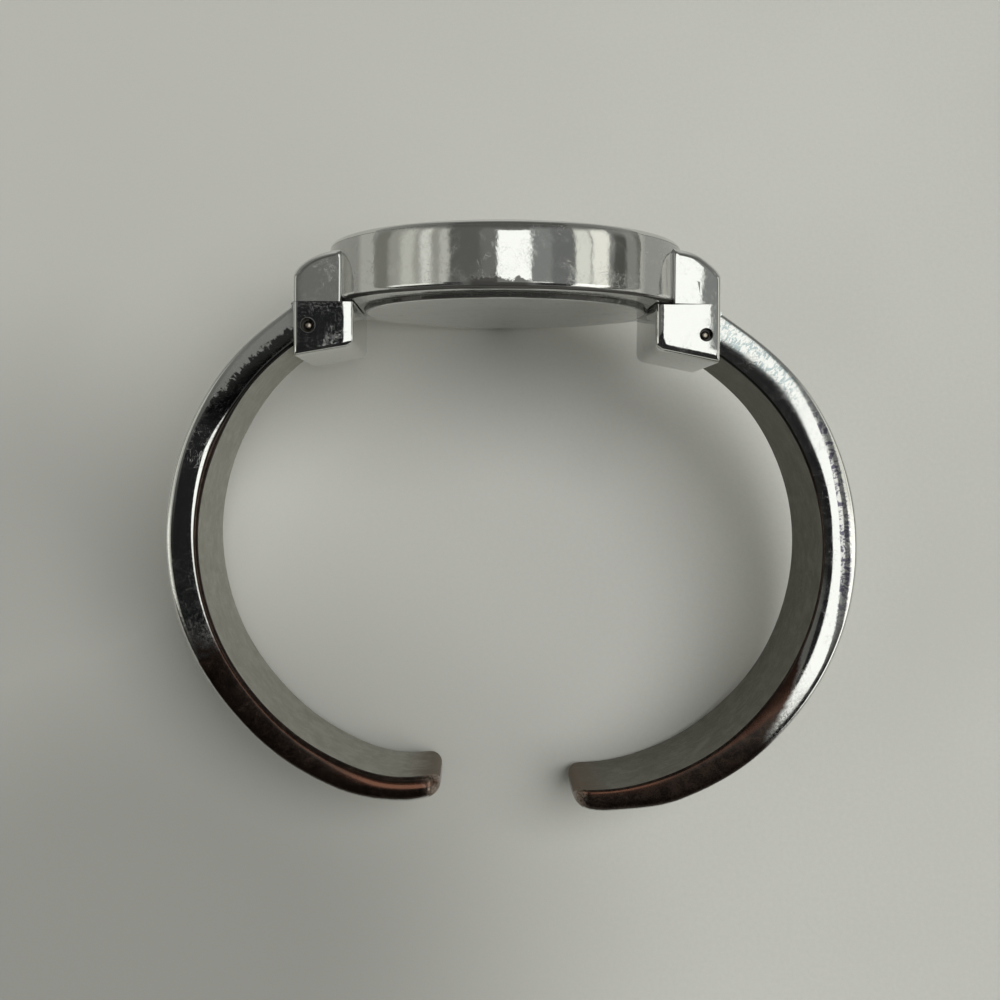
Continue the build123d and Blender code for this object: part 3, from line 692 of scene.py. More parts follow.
def hood(side):
    """Hood of the lug, from the parting line up, its inner end let into the band."""
    if side < 0:
        top, _, L = spline2([(L_OUT, 19.48), (-18.52, 20.72), (-17.20, 21.40), (-15.25, 21.86)], [(0.30, 1), (1, 0.12)])
        inner, out, s = -15.10, L_OUT, 1
    else:
        top, _, L = spline2([(R_OUT, 19.60), (18.80, 20.70), (17.66, 21.50), (15.00, 22.14)], [(-0.30, 1), (-1, 0.12)])
        inner, out, s = 15.27, R_OUT, -1
    arc = [tuple(q) for q in top(np.linspace(0, L, 60)) if s * (inner - q[0]) > 0.02]
    end_y = arc[-1][1] + 0.01
    pts = [(out, y) for y in np.arange(SEAM - 1.6, arc[0][1] - 0.05, 0.16)]
    pts += arc + [(inner, end_y)]
    pts += [(inner, y) for y in np.arange(end_y - 0.2, SEAM - 1.6, -0.2)]
    pts += [(inner, SEAM - 1.6)]
    pts += [(x, SEAM - 1.6) for x in np.linspace(inner, out, 22)[1:-1]]
    rim = []
    for x, y in pts:
        if abs(y - (SEAM - 1.6)) < 1e-6 and abs(x - out) > 1e-6 and abs(x - inner) > 1e-6:
            q = 0.02
        elif abs(x - out) < 1e-6:
            q = 0.34
        elif abs(x - inner) < 1e-6:
            q = 0.26
        else:
            q = 0.62
        rim.append(q)
    rim = np.array(rim)
    for _ in range(5):
        rim = (np.roll(rim, 1) + 2 * rim + np.roll(rim, -1)) / 4

    def fall(x, y):
        d = np.abs(x - out)
        return ease(d, 4.0, 2.0) if side < 0 else ease(d, 6.0, 2.9)

    lean = (0.030, -0.058) if side < 0 else (0.0, 0.0)
    h = plate("lug_hood_left" if side < 0 else "lug_hood_right", pts, rim, fall, (out + s * 2.15, 18.9), LUG_HALF - 0.004, lean)
    h = sliced(h, SEAM + 0.012, True)
    # the core that reaches back into the band behind the edge
    zs = np.linspace(-LUG_HALF + 0.45, LUG_HALF - 0.45, 25)
    near = [(-s * math.sqrt(15.3 ** 2 - z * z), z) for z in zs]
    flat = [(inner - s * 0.6, z) for z in zs[::-1]]
    ring = near + flat
    m_ = len(ring)
    cv = [(x, y, z) for y in (CASE_BOT + 0.20, 21.3) for x, z in ring]
    cf = [(i, (i + 1) % m_, m_ + (i + 1) % m_, m_ + i) for i in range(m_)]
    for k in range(24):
        a, b, c_, d_ = k, k + 1, m_ - 2 - k, m_ - 1 - k
        cf += [(a, d_, c_, b), (m_ + a, m_ + b, m_ + c_, m_ + d_)]
    h = boolean(h, new_mesh("core", cv, cf), "UNION")
    px, py = L_PIN if side < 0 else R_PIN
    xs = sorted((out - s * 1.0, px + s * 0.75))
    cut = prism("c", [(xs[0], SEAM - 2), (xs[1], SEAM - 2), (xs[1], SLOT_TOP), (xs[0], SLOT_TOP)], -SLOT_HALF, SLOT_HALF)
    h = boolean(h, cut, "DIFFERENCE")
    for g_ in groove(side):
        h = boolean(h, g_, "DIFFERENCE")
    return h


hood_l, hood_r = hood(-1), hood(1)


def block(side):
    """Hinge block under the hood, with the knuckle's slot and the pin hole."""
    out, inn = (L_OUT, L_IN) if side < 0 else (R_OUT, R_IN)
    bo, bi = (12.02, 12.98) if side < 0 else (11.62, 12.80)
    px, py = L_PIN if side < 0 else R_PIN
    s = 1 if side < 0 else -1
    raw = rounded([(out, SEAM + 1.6), (out, bo), (inn, bi), (inn, SEAM + 1.6)], [0, 0.18, 0.85, 0], step=6, longest=9.0, support=0.01)
    pts = evenly([tuple(q) for q in raw], 0.17)
    rim = []
    for x, y in pts:
        on_out, on_in = abs(x - out) < 0.03, abs(x - inn) < 0.25 and y > bi + 0.2
        if y > SEAM + 1.59:
            q = 0.02
        elif on_out:
            q = 0.34
        elif on_in:
            q = 0.12 if side < 0 else 0.30
        else:
            q = 0.46 if side < 0 else 0.50
        rim.append(q)
    rim = np.array(rim)
    for _ in range(4):
        rim = (np.roll(rim, 1) + 2 * rim + np.roll(rim, -1)) / 4
    bx, by = inn - out, bi - bo
    bl = math.hypot(bx, by)

    def fall(x, y):
        low = ((y - bo) * bx - (x - out) * by) / bl * (1 if bx > 0 else -1)      # from the lower side
        side_in = np.abs(inn - x) * np.where((inn - x) * bx >= 0, 1, -1)
        if side < 0:
            return ease(side_in, 15.0, 0.95) + ease(low, 8.0, 1.0) + ease(np.abs(x - out), 2.0, 1.5)
        r = 1.5                                                                  # rounds the two sides into each other
        both = np.where((low < r) & (side_in < r), r - np.hypot(r - low, r - side_in), np.minimum(low, side_in))
        return ease(both, 18.0, 1.15) + ease(np.abs(x - out), 4.4, 2.0)

    lean = (0.030, 0.024) if side < 0 else (0.0, 0.0)
    b = plate("hinge_block_left_shell" if side < 0 else "hinge_block_right_shell", pts, rim, fall, ((out + inn) / 2, 15.3), LUG_HALF - 0.004, lean)
    b = sliced(b, SEAM - 0.012, False)
    floor = 12.72 if side < 0 else 12.35
    ang = np.linspace(0, 2 * math.pi, 64, endpoint=False)
    round_cut = prism("c1", [(px + SLOT_R * math.cos(a), py + SLOT_R * math.sin(a)) for a in ang], -SLOT_HALF, SLOT_HALF)
    xs = sorted((out - s * 1.0, px))
    low_cut = prism("c2", [(xs[0], floor), (xs[1], floor), (xs[1], SEAM + 3), (xs[0], SEAM + 3)], -SLOT_HALF, SLOT_HALF)
    xs = sorted((px - s * 0.5, px + s * 0.75))
    up_cut = prism("c3", [(xs[0], py), (xs[1], py), (xs[1], SEAM + 3), (xs[0], SEAM + 3)], -SLOT_HALF + 0.0007, SLOT_HALF - 0.0007)
    b = boolean(b, round_cut, "DIFFERENCE")
    b = boolean(b, low_cut, "DIFFERENCE")
    b = boolean(b, up_cut, "DIFFERENCE")
    xs = sorted((px + s * 1.2, px + s * 2.55))
    pocket = prism("c4", [(xs[0], py - 1.35), (xs[1], py - 1.35), (xs[1], SEAM + 2), (xs[0], SEAM + 2)], -3.2, 3.2)
    b = boolean(b, pocket, "DIFFERENCE")
    b = boolean(b, tube_solid("c5", (px, py, 0), (0, 0, 1), 0.385, 30, 40), "DIFFERENCE")
    for e in (-1, 1):
        mouth = tube_solid("c6", (px, py, e * (LUG_HALF - 0.85 + 0.85)), (0, 0, e), 0.60, 1.7, 48, cone=0.05)
        b = boolean(b, mouth, "DIFFERENCE")
    for g_ in groove(side):
        b = boolean(b, g_, "DIFFERENCE")
    return b


block_l, block_r = block(-1), block(1)


# ---------------------------------------------------------------------------
# cuff arms
# ---------------------------------------------------------------------------
def smooth_lookup(table, t):
    for (a, va), (b, vb) in zip(table, table[1:]):
        if t <= b:
            u = (t - a) / (b - a)
            u = u * u * (3 - 2 * u)
            return va + (vb - va) * u
    return table[-1][1]


def half_section(W, T, sec, n=60, a_dome=8.5):
    """Half of an arm's section, from the middle of the inner face round to the middle of the outer one, by its heading: level inner
    face, inner edge of radius r_in turning to a1, a run lw easing to a2, the side turning slowly to a3, a run lo easing to a4, outer
    edge of radius r_out, and the domed outer face. Returns w, t, heading in degrees and length at n points."""
    r_in, a1, lw, a2, a3, lo, a4, r_out = sec
    q = [rad(v) for v in (0, a1, a2, a3, a4, 180.0 - a_dome, 180.0)]

    def mean(u, v):
        if abs(v - u) < 1e-9:
            return np.array([math.cos(u), math.sin(u)])
        return np.array([(math.sin(v) - math.sin(u)) / (v - u), (math.cos(u) - math.cos(v)) / (v - u)])

    l_in, l_out = r_in * q[1], r_out * (q[5] - q[4])
    fixed = l_in * mean(q[0], q[1]) + lw * mean(q[1], q[2]) + lo * mean(q[3], q[4]) + l_out * mean(q[4], q[5])
    m_side, m_dome = mean(q[2], q[3]), mean(q[5], q[6])
    f = min(1.0, max(0.0, (90.0 - a2) / max(1e-6, a3 - a2)))
    m_up = mean(q[2], q[2] + (q[3] - q[2]) * f)
    at_w = l_in * mean(q[0], q[1])[0] + lw * mean(q[1], q[2])[0]
    A = np.array([[0, m_side[1], m_dome[1]], [1, f * m_up[0], 0], [1, m_side[0], m_dome[0]]])
    B = np.array([T - fixed[1], W - at_w, -fixed[0]])
    L1, Ls, L5 = np.linalg.solve(A, B)
    Ls = max(Ls, 0.05)
    lens = [L1, l_in, lw, Ls, lo, l_out, L5]
    s_k = np.r_[0, np.cumsum(lens)]
    h_k = np.array([0, 0, q[1], q[2], q[3], q[4], q[5], q[6]])
    s = np.linspace(0, s_k[-1], 1600)
    h = np.interp(s, s_k, h_k)
    ds = s[1] - s[0]
    k = max(1, int(0.07 / ds))
    pad = np.r_[-h[k:0:-1], h, 2 * math.pi - h[-2:-k - 2:-1]]
    h = np.convolve(pad, np.ones(2 * k + 1) / (2 * k + 1), "valid")
    w = np.r_[0, np.cumsum((np.cos(h[1:]) + np.cos(h[:-1])) / 2 * ds)]
    t = np.r_[0, np.cumsum((np.sin(h[1:]) + np.sin(h[:-1])) / 2 * ds)]
    w -= w[-1] * (s / s[-1]) ** 4
    w *= W / w.max()
    t *= T / t[-1]
    cost = np.r_[0, np.cumsum(ds / 0.42 + np.abs(np.diff(h)) / rad(2.3))]
    sp = np.interp(np.linspace(0, cost[-1], n), cost, s)
    return np.interp(sp, s, w), np.interp(sp, s, t), np.degrees(np.interp(sp, s, h)), sp


# along the arm from the tip, 0 to 1: r_in, a1, lw, a2, a3, lo, a4, r_out
L_SECTION = [(0.00, 0.80, 62, 0.55, 88.0, 93.0, 0.30, 100, 1.00),
             (0.10, 0.80, 62, 0.55, 88.0, 93.0, 0.30, 100, 0.95),
             (0.20, 0.60, 68, 0.30, 88.6, 92.4, 0.35, 106, 0.75),
             (0.30, 0.52, 76, 0.08, 89.2, 92.0, 0.45, 112, 0.60),
             (0.42, 0.50, 78, 0.04, 89.2, 91.8, 0.50, 114, 0.55),
             (0.48, 0.50, 77, 0.05, 89.2, 91.8, 0.55, 114, 0.52),
             (0.577, 0.52, 76, 0.10, 89.2, 91.8, 0.58, 114, 0.50),
             (0.67, 0.56, 75, 0.28, 89.2, 91.8, 0.62, 116, 0.48),
             (0.752, 0.72, 75, 0.36, 89.2, 91.8, 0.36, 108, 0.48),
             (0.79, 0.60, 76, 0.24, 89.2, 91.8, 0.36, 107, 0.48),
             (0.82, 0.44, 82, 0.06, 89.4, 92.0, 0.34, 105, 0.48),
             (0.85, 0.34, 86, 0.05, 90.2, 92.9, 0.30, 102, 0.45),
             (1.00, 0.34, 86, 0.05, 90.5, 93.6, 0.30, 100, 0.45)]
R_SECTION = [(0.00, 0.28, 84, 0.08, 89.8, 93.0, 0.30, 100, 1.10),
             (0.08, 0.28, 84, 0.08, 89.8, 93.0, 0.30, 100, 1.00),
             (0.16, 0.30, 82, 0.20, 89.8, 92.6, 0.30, 100, 0.72),
             (0.25, 0.30, 74, 0.50, 89.6, 92.0, 0.30, 100, 0.58),
             (0.30, 0.30, 70, 1.05, 87.0, 91.0, 0.30, 100, 0.52),
             (0.352, 0.30, 67, 1.35, 82.5, 90.6, 0.30, 100, 0.50),
             (0.39, 0.30, 66, 1.30, 79.8, 90.3, 0.35, 101, 0.48),
             (0.446, 0.30, 66, 1.10, 79.8, 90.2, 0.45, 102, 0.46),
             (0.50, 0.30, 66, 0.92, 79.8, 90.2, 0.75, 104, 0.45),
             (0.54, 0.30, 66, 0.85, 79.8, 90.3, 1.15, 108, 0.45),
             (0.63, 0.30, 66, 0.74, 79.8, 90.2, 1.55, 112, 0.45),
             (0.70, 0.30, 66, 0.98, 79.8, 90.2, 1.35, 112, 0.43),
             (0.777, 0.30, 66, 1.10, 79.8, 90.5, 0.80, 106, 0.36),
             (0.857, 0.30, 65, 1.55, 79.8, 90.8, 0.25, 97, 0.34),
             (0.92, 0.30, 65, 1.30, 79.8, 90.9, 0.12, 95, 0.34),
             (1.00, 0.30, 66, 1.05, 80.0, 91.0, 0.12, 95, 0.34)]


def section_at(table, t):
    xs = [q[0] for q in table]
    return [float(np.interp(t, xs, [q[k] for q in table])) for k in range(1, 9)]


def arm(side):
    pts, thick = (L_INNER, L_THICK) if side < 0 else (R_INNER, R_THICK)
    at, tan, L = spline2(pts)
    tip_s = [0.0, 0.02, 0.055, 0.105, 0.165, 0.235, 0.32, 0.41, 0.51, 0.62, 0.74, 0.87, 1.01, 1.16, 1.32, 1.5, 1.7, 1.95, 2.2, 2.5]
    cut = 0.12 if side < 0 else 0.45
    ss = np.r_[np.array(tip_s) + cut, np.linspace(2.8 + cut, L, int(L / 0.33))]
    n = 108
    table = L_SECTION if side < 0 else R_SECTION
    verts, a_s, a_q, a_h, a_near = [], [], [], [], []
    base = []
    for s in ss:
        t = s / L
        W = ARM_TIP_HALF + (ARM_HALF - ARM_TIP_HALF) * min(1.0, t / 0.3) ** 0.7
        T = smooth_lookup(thick, t)
        u = s - cut

        def corner(along, depth):
            return depth * (1 - math.sqrt(max(0.0, 1 - max(0.0, 1 - u / along) ** 2)))

        dw, di, do = corner(1.45, 2.3), corner(0.95, 0.80), corner(1.5, 1.15)
        W2, T2 = W - dw, T - di - do
        sec = section_at(table, t)
        k = min(1.0, T2 / 2.3)
        for j in (0, 2, 5, 7):
            sec[j] *= k
        w, tt, hd, q = half_section(W2, T2, sec, n=n)
        ww = np.r_[w, -w[-2:0:-1]]
        tt = np.r_[tt, tt[-2:0:-1]]
        hh = np.r_[hd, hd[-2:0:-1]]
        qq = np.r_[q, -q[-2:0:-1]]
        P = at([s])[0]
        Tn = tan([s])[0]
        N = np.array([-Tn[1], Tn[0]])  # outward, to the left of travel for the left arm
        if side > 0:
            N = -N
        if (P @ N) < 0:
            N = -N
        base.append(len(verts))
        for a, b, h, c in zip(ww, tt, hh, qq):
            xy = P + N * (b + di)
            verts.append((xy[0], xy[1], a))
            a_s.append(s)
            a_q.append(c)
            a_h.append(h)
            a_near.append(1.0 if a > 0 else 0.0)
    m = 2 * n - 2
    faces = []
    for a, b in zip(base, base[1:]):
        for i in range(m):
            j = (i + 1) % m
            faces.append((a + i, a + j, b + j, b + i))
    # closed ends, each a fan about a centre
    for b0, flip in ((base[0], True), (base[-1], False)):
        c = np.mean([verts[b0 + i] for i in range(m)], axis=0)
        ci = len(verts)
        verts.append(tuple(c))
        a_s.append(a_s[b0]); a_q.append(0.0); a_h.append(90.0); a_near.append(0.5)
        for i in range(m):
            j = (i + 1) % m
            faces.append((b0 + j, b0 + i, ci) if flip else (b0 + i, b0 + j, ci))
    name = "cuff_left" if side < 0 else "cuff_right"
    ob = new_mesh(name, verts, faces, {"arm_s": a_s, "arm_q": a_q, "arm_h": a_h, "arm_near": a_near})
    # knuckle and heel at the pin
    px, py = L_PIN if side < 0 else R_PIN
    s = 1 if side < 0 else -1
    half = ARM_HALF - 0.05
    far = px + s * 0.2
    ang = np.linspace(0, 2 * math.pi, 72, endpoint=False)
    x0, x1 = sorted((far, far + s * 6))
    keep = prism("c0", [(x0, py - 8), (x1, py - 8), (x1, py + 8), (x0, py + 8)], -8, 8)
    ob = boolean(ob, keep, "DIFFERENCE")
    barrel = prism("c1", [(px + KNUCKLE_R * math.cos(a), py + KNUCKLE_R * math.sin(a)) for a in ang], -half, half)
    ob = boolean(ob, barrel, "UNION")
    heel_o = [(px + s * q[0], py + q[1]) for q in ((-0.9, -1.3), (0.9, -1.3), (0.9, 1.3), (0.0, 1.62), (-0.55, 2.35), (-1.1, 2.62), (-1.7, 2.1))]
    heel = prism("c2", heel_o if s < 0 else heel_o[::-1], -half + 0.01, half - 0.01)
    ob = boolean(ob, heel, "UNION")
    x0, x1 = sorted((px + s * 1.37, px + s * 3))
    flat = prism("c3", [(x0, py - 3), (x1, py - 3), (x1, py + 3), (x0, py + 3)], -3.3, 3.3)
    ob = boolean(ob, flat, "DIFFERENCE")
    ob = boolean(ob, tube_solid("c4", (px, py, 0), (0, 0, 1), KNUCKLE_BORE_R, 40, 40), "DIFFERENCE")
    p = place(ob)
    me = ob.data
    at_pin = np.hypot(p[:, 0] - px, p[:, 1] - py) < 4.2
    for key, value in (("arm_s", L), ("arm_h", 95.0)):
        a = np.zeros(len(me.vertices), np.float32)
        me.attributes[key].data.foreach_get("value", a)
        lost = at_pin & (np.abs(a) < 20.0) if key == "arm_s" else lost
        a[lost] = value
        me.attributes[key].data.foreach_set("value", a)
    return ob


def split_finish(ob, inner_mat):
    """Faces of the level inner side take the second material."""
    me = ob.data
    me.materials.append(inner_mat)
    h = np.zeros(len(me.vertices), np.float32)
    me.attributes["arm_h"].data.foreach_get("value", h)
    for f in me.polygons:
        if max(h[i] for i in f.vertices) < 9.0:
            f.material_index = 1


arm_l, arm_r = arm(-1), arm(1)

# ---------------------------------------------------------------------------
# bezel, crystal, dial
# ---------------------------------------------------------------------------
top_r = CASE_R - shoulder(CASE_TOP)
bez = [(15.55, SEAT_Z + 0.02), (15.98, SEAT_Z + 0.02), (15.98, CASE_TOP + 0.015), (top_r - 0.004, CASE_TOP + 0.015)]
bez += [(top_r - 0.004 - 0.018 - 0.30 * (1 - math.cos(rad(q))) + 0.30 * (1 - math.cos(rad(14))), 22.65 + 0.30 * (math.sin(rad(q)) - math.sin(rad(14))) / (1 - math.sin(rad(14)))) for q in range(14, 91, 6)]
bez += [(15.75, RIM_TOP), (15.63, 22.91), (15.57, 22.84), (15.55, 22.76)]
bezel = revolve("bezel_ring", rounded(bez, [0] * len(bez), step=8, longest=0.3), seg=420)
crystal = revolve("crystal_disc", rounded([(0, 21.97), (15.2, 21.97), (15.2, 22.85), (0, 22.85)], [0, 0.05, 0.18, 0], closed=False, longest=1.2), closed=False, seg=240)
rehaut = revolve("inner_ring", rounded([(13.2, 20.87), (13.95, 20.87), (13.95, 21.93), (13.80, 21.93)], [0.03, 0, 0, 0.03], longest=0.4), seg=300)
dial = revolve("dial_plate", rounded([(0.80, 20.45), (14.05, 20.45), (14.05, 20.85), (0.80, 20.85)], [0, 0.03, 0.03, 0.02], longest=0.7), seg=300)


def clock(i, r):
    """Watch X and Z of a point r from the middle, at i hours. 12 o'clock is -X, and the crown at 3 is on the far side."""
    a = math.pi - i * math.pi / 6   # in the plane of X and -Z
    return r * math.cos(a), -r * math.sin(a)


def bar(name_verts, faces, i, r0, r1, w0, w1, y0, y1, ridge=0.0):
    """Baton along a radius, with a chamfered top."""
    cx, cz = clock(i, 1.0)
    tx, tz = -cz, cx
    base = len(name_verts)
    ch = min(w0, w1) * 0.18 if ridge == 0 else 0.0
    lo = [(r0, -w0 / 2), (r1, -w1 / 2), (r1, w1 / 2), (r0, w0 / 2)]
    hi = [(r0 + ch, -w0 / 2 + ch), (r1 - ch, -w1 / 2 + ch), (r1 - ch, w1 / 2 - ch), (r0 + ch, w0 / 2 - ch)]
    for pts, y in ((lo, y0), (lo, y1 - ch), (hi, y1)):
        for r, t in pts:
            name_verts.append((cx * r + tx * t, y, cz * r + tz * t))
    for k in (0, 4):
        for j in range(4):
            q = (j + 1) % 4
            faces.append((base + k + j, base + k + q, base + k + 4 + q, base + k + 4 + j))
    faces.append((base + 3, base + 2, base + 1, base))
    if ridge:
        a, b = len(name_verts), len(name_verts) + 1
        name_verts.append((cx * (r0 + 0.25), y1 + ridge, cz * (r0 + 0.25)))
        name_verts.append((cx * (r1 - 0.25), y1 + ridge, cz * (r1 - 0.25)))
        t = base + 8
        faces += [(t, t + 1, b, a), (t + 1, t + 2, b), (t + 2, t + 3, a, b), (t + 3, t, a)]
    else:
        faces.append((base + 8, base + 9, base + 10, base + 11))


mv, mf = [], []
for i in range(12):
    if i % 3 == 0:
        for off in (-0.27, 0.27):
            bar(mv, mf, i + off / 11.0 * 6 / math.pi, 9.62, 11.88, 0.34, 0.42, 20.852, 20.99, ridge=0.07)
    else:
        bar(mv, mf, i, 10.02, 11.88, 0.40, 0.48, 20.852, 20.99, ridge=0.07)
markers = new_mesh("hour_batons", mv, mf, sharp=12)
tv, tf = [], []
for i in range(60):
    long_ = i % 5 == 0
    bar(tv, tf, i / 5, 12.30 if long_ else 12.42, 12.92, 0.17 if long_ else 0.07, 0.17 if long_ else 0.07, 20.8505, 20.858)
track = new_mesh("minute_track", tv, tf, sharp=20)


def hand(name, hours, length, tail, width, y, t, hub, bore, ridge, sweep=None):
    """Tapered hand with a raised middle ridge and a round hub."""
    a = math.pi - hours * math.pi / 6
    dx, dz = math.cos(a), -math.sin(a)
    sx, sz = -dz, dx

    def P(r, w, yy):
        return (dx * r + sx * w, yy, dz * r + sz * w)

    st = [(-tail, width * 0.30), (-tail * 0.4, width * 0.42), (hub * 0.9, width * 0.5), (length * 0.35, width * 0.5), (length * 0.72, width * 0.40), (length * 0.93, width * 0.20), (length, width * 0.03)]
    verts, faces, rows = [], [], []
    for r, w in st:
        rows.append(len(verts))
        verts += [P(r, -w, y), P(r, -w, y + t * 0.45), P(r, 0, y + t * 0.45 + ridge * min(1, w / (width * 0.4))), P(r, w, y + t * 0.45), P(r, w, y)]
    for a0, b0 in zip(rows, rows[1:]):
        for j in range(5):
            k = (j + 1) % 5
            faces.append((a0 + j, a0 + k, b0 + k, b0 + j))
    faces += [tuple(rows[0] + j for j in range(5)), tuple(rows[-1] + j for j in range(5))[::-1]]
    blade = new_mesh(name + "_blade", verts, faces, sharp=10)
    prof = rounded([(bore, y), (hub, y), (hub, y + t), (bore, y + t)], [0, 0.01, 0.03, 0.01], longest=0.5, support=0.01)
    boss = revolve(name + "_hub", prof, seg=64)
    return joined([blade, boss], name)


HOURS = 10 + 10 / 60
h_hand = hand("hand_hours", HOURS, 7.4, 0.0, 1.0, 21.05, 0.16, 1.05, 0.705, 0.085)
m_hand = hand("hand_minutes", 2.0, 11.2, 0.0, 0.8, 21.33, 0.14, 0.80, 0.425, 0.07)


def second():
    verts, faces = [], []
    bar(verts, faces, 7.0, -3.2, 12.0, 0.22, 0.08, 21.60, 21.68)
    needle = new_mesh("n", verts, faces, sharp=20)
    verts, faces = [], []
    bar(verts, faces, 1.0, 1.6, 3.4, 0.40, 0.44, 21.60, 21.70)
    weight = new_mesh("w", verts, faces, sharp=20)
    boss = revolve("b", rounded([(0.152, 21.60), (0.5, 21.60), (0.5, 21.72), (0.152, 21.72)], [0, 0, 0.03, 0], longest=0.5, support=0.01), seg=48)
    return joined([needle, weight, boss], "hand_seconds")


s_hand = second()

# ---------------------------------------------------------------------------
# case back, crown, pins
# ---------------------------------------------------------------------------
back_pts = [(0, 16.70), (13.40, 16.70), (13.56, 16.80), (13.72, CASE_BOT + 0.02), (14.70, CASE_BOT + 0.02), (14.70, CASE_BOT + 0.33), (13.85, CASE_BOT + 0.33),
            (13.85, 18.10), (13.35, 18.10), (13.35, 17.32), (0, 17.32)]
back = revolve("back_cover", rounded(back_pts, [0, 0.20, 0.10, 0.05, 0.07, 0.04, 0, 0.03, 0.03, 0, 0], closed=False, step=10, longest=0.6, support=0.04), closed=False, seg=360)
nx, nz = 5.0 , -12.9
ang = math.radians(-21)
cxn, szn = math.cos(ang), math.sin(ang)
corners = [(nx + cxn * a - szn * b, nz - (szn * a + cxn * b)) for a, b in ((-1, -.45), (1, -.45), (1, .9), (-1, .9))]
nv = [(x, 16.2, z) for x, z in corners] + [(x, 16.9, z) for x, z in corners]
nf = [(0, 1, 2, 3), (4, 5, 6, 7)] + [(i, (i + 1) % 4, 4 + (i + 1) % 4, 4 + i) for i in range(4)]
back = boolean(back, new_mesh("c", nv, nf), "DIFFERENCE", 30)


def crown_piece():
    """Fluted crown about the stem's line, with a domed outer end and a hollow inner end."""
    seg, teeth = 24 * 12, 24
    y0, y1, R = 17.18, 19.23, 2.05
    st = [(y0 + 1.05, 0.49, 0), (y0 + 1.05, 1.42, 0), (y0 + 0.02, 1.42, 0), (y0, 1.46, 0), (y0, R - 0.14, 0), (y0 + 0.04, R - 0.07, 0.3), (y0 + 0.12, R, 1), (y0 + 0.5, R, 1), (y1 - 0.55, R, 1), (y1 - 0.36, R, 1),
          (y1 - 0.28, R - 0.01, 0.8), (y1 - 0.18, R - 0.09, 0.45), (y1 - 0.09, R - 0.22, 0.15), (y1 - 0.05, R - 0.42, 0), (y1 - 0.03, R - 0.8, 0), (y1 - 0.012, R - 1.3, 0), (y1 - 0.002, R - 1.75, 0), (y1, 0, 0),
          (18.62, 0, 0), (18.62, 0.49, 0)]
    verts, rows = [], []
    for d, r, fl in st:
        if r < 1e-6:
            rows.append([len(verts)])
            verts.append((0, 19.2, -d))
            continue
        rows.append(list(range(len(verts), len(verts) + seg)))
        for j in range(seg):
            a = 2 * math.pi * j / seg
            ph = (a * teeth / (2 * math.pi)) % 1.0
            dip = max(0.0, 1 - ((ph - 0.5) / 0.30) ** 2) ** 0.8
            rr = r - 0.115 * fl * dip
            verts.append((rr * math.sin(a), 19.2 + rr * math.cos(a), -d))
    faces = []
    m = len(rows)
    for i in range(m):
        A, B = rows[i], rows[(i + 1) % m]
        if len(A) == 1 and len(B) == 1:
            continue
        for j in range(seg):
            k = (j + 1) % seg
            if len(A) == 1:
                faces.append((A[0], B[k], B[j]))
            elif len(B) == 1:
                faces.append((A[j], A[k], B[0]))
            else:
                faces.append((A[j], A[k], B[k], B[j]))
    return new_mesh("crown_knob", verts, faces, sharp=40)


crown = crown_piece()


def pin_piece(side):
    px, py = L_PIN if side < 0 else R_PIN
    dome = [(7.12, 0.0), (7.115, 0.14), (7.095, 0.24), (7.06, 0.31), (7.00, 0.355), (6.92, 0.38)]
    st = [(-z, r) for z, r in dome] + [(z, 0.38) for z in (-3.5, 0.0, 3.5)] + dome[::-1]
    seg = 40
    verts, rows, faces = [], [], []
    for z, r in st:
        if r == 0:
            rows.append([len(verts)])
            verts.append((px, py, z))
        else:
            rows.append(list(range(len(verts), len(verts) + seg)))
            verts += [(px + r * math.cos(2 * math.pi * j / seg), py + r * math.sin(2 * math.pi * j / seg), z) for j in range(seg)]
    for A, B in zip(rows, rows[1:]):
        for j in range(seg):
            k = (j + 1) % seg
            faces.append((A[0], B[k], B[j]) if len(A) == 1 else (A[j], A[k], B[0]) if len(B) == 1 else (A[j], A[k], B[k], B[j]))
    return new_mesh("hinge_pin_left_rod" if side < 0 else "hinge_pin_right_rod", verts, faces)


pin_l, pin_r = pin_piece(-1), pin_piece(1)

# ---------------------------------------------------------------------------
# materials
# ---------------------------------------------------------------------------
def pin_hole_shade(side):
    """Painted shade in the mouth of the pin hole."""
    px, py = L_PIN if side < 0 else R_PIN

    def mask(g, p0, fine):
        x, y, z = g.sep(p0)
        dx, dy = x - px, y - py
        r = g.math("SQRT", dx * dx + dy * dy)
        return g.ss(0.72, 0.66, r + (fine - 0.5) * 0.06) * g.ss(LUG_HALF - 0.015, LUG_HALF - 0.05, z.abs())
    return mask


def band_edge_shade(g, p0, fine):
    """Painted shade: a dark line along the lower edge of the band, heavier in patches by the middle of the near side,
    and the band darker towards both its ends.
    """
    x, y, z = g.sep(p0)
    r = g.math("SQRT", x * x + z * z)
    far = g.noise(p0, 1.1, 3.0, 0.6)
    line = g.ss(17.47, 17.37, y + (far - 0.5) * 0.10) * g.ss(16.55, 16.66, r) * 0.9
    spot = g.ss(-4.6, -3.0, x) * g.ss(2.9, 1.2, x) * g.ss(8.0, 12.0, z) * g.ss(18.10, 17.86, y + (far - 0.5) * 1.5 + (fine - 0.5) * 0.7) * g.ss(16.4, 16.6, r)
    ends = (g.ss(-12.9, -13.5, x) * 0.36).max(g.ss(11.5, 12.3, x) * 0.46) * g.ss(0.25, 0.60, far * 0.5 + fine * 0.5, 0.75, 1.0)
    return line.max(spot * 0.85).max(ends)


def back_groove_shade(g, p0, fine):
    """Painted shade in the groove between the back and the band."""
    x, y, z = g.sep(p0)
    r = g.math("SQRT", x * x + z * z)
    return g.ss(13.47, 13.55, r + (fine - 0.5) * 0.05) * g.ss(14.72, 14.30, r) * g.ss(0.80, 0.55, fine) * 0.85


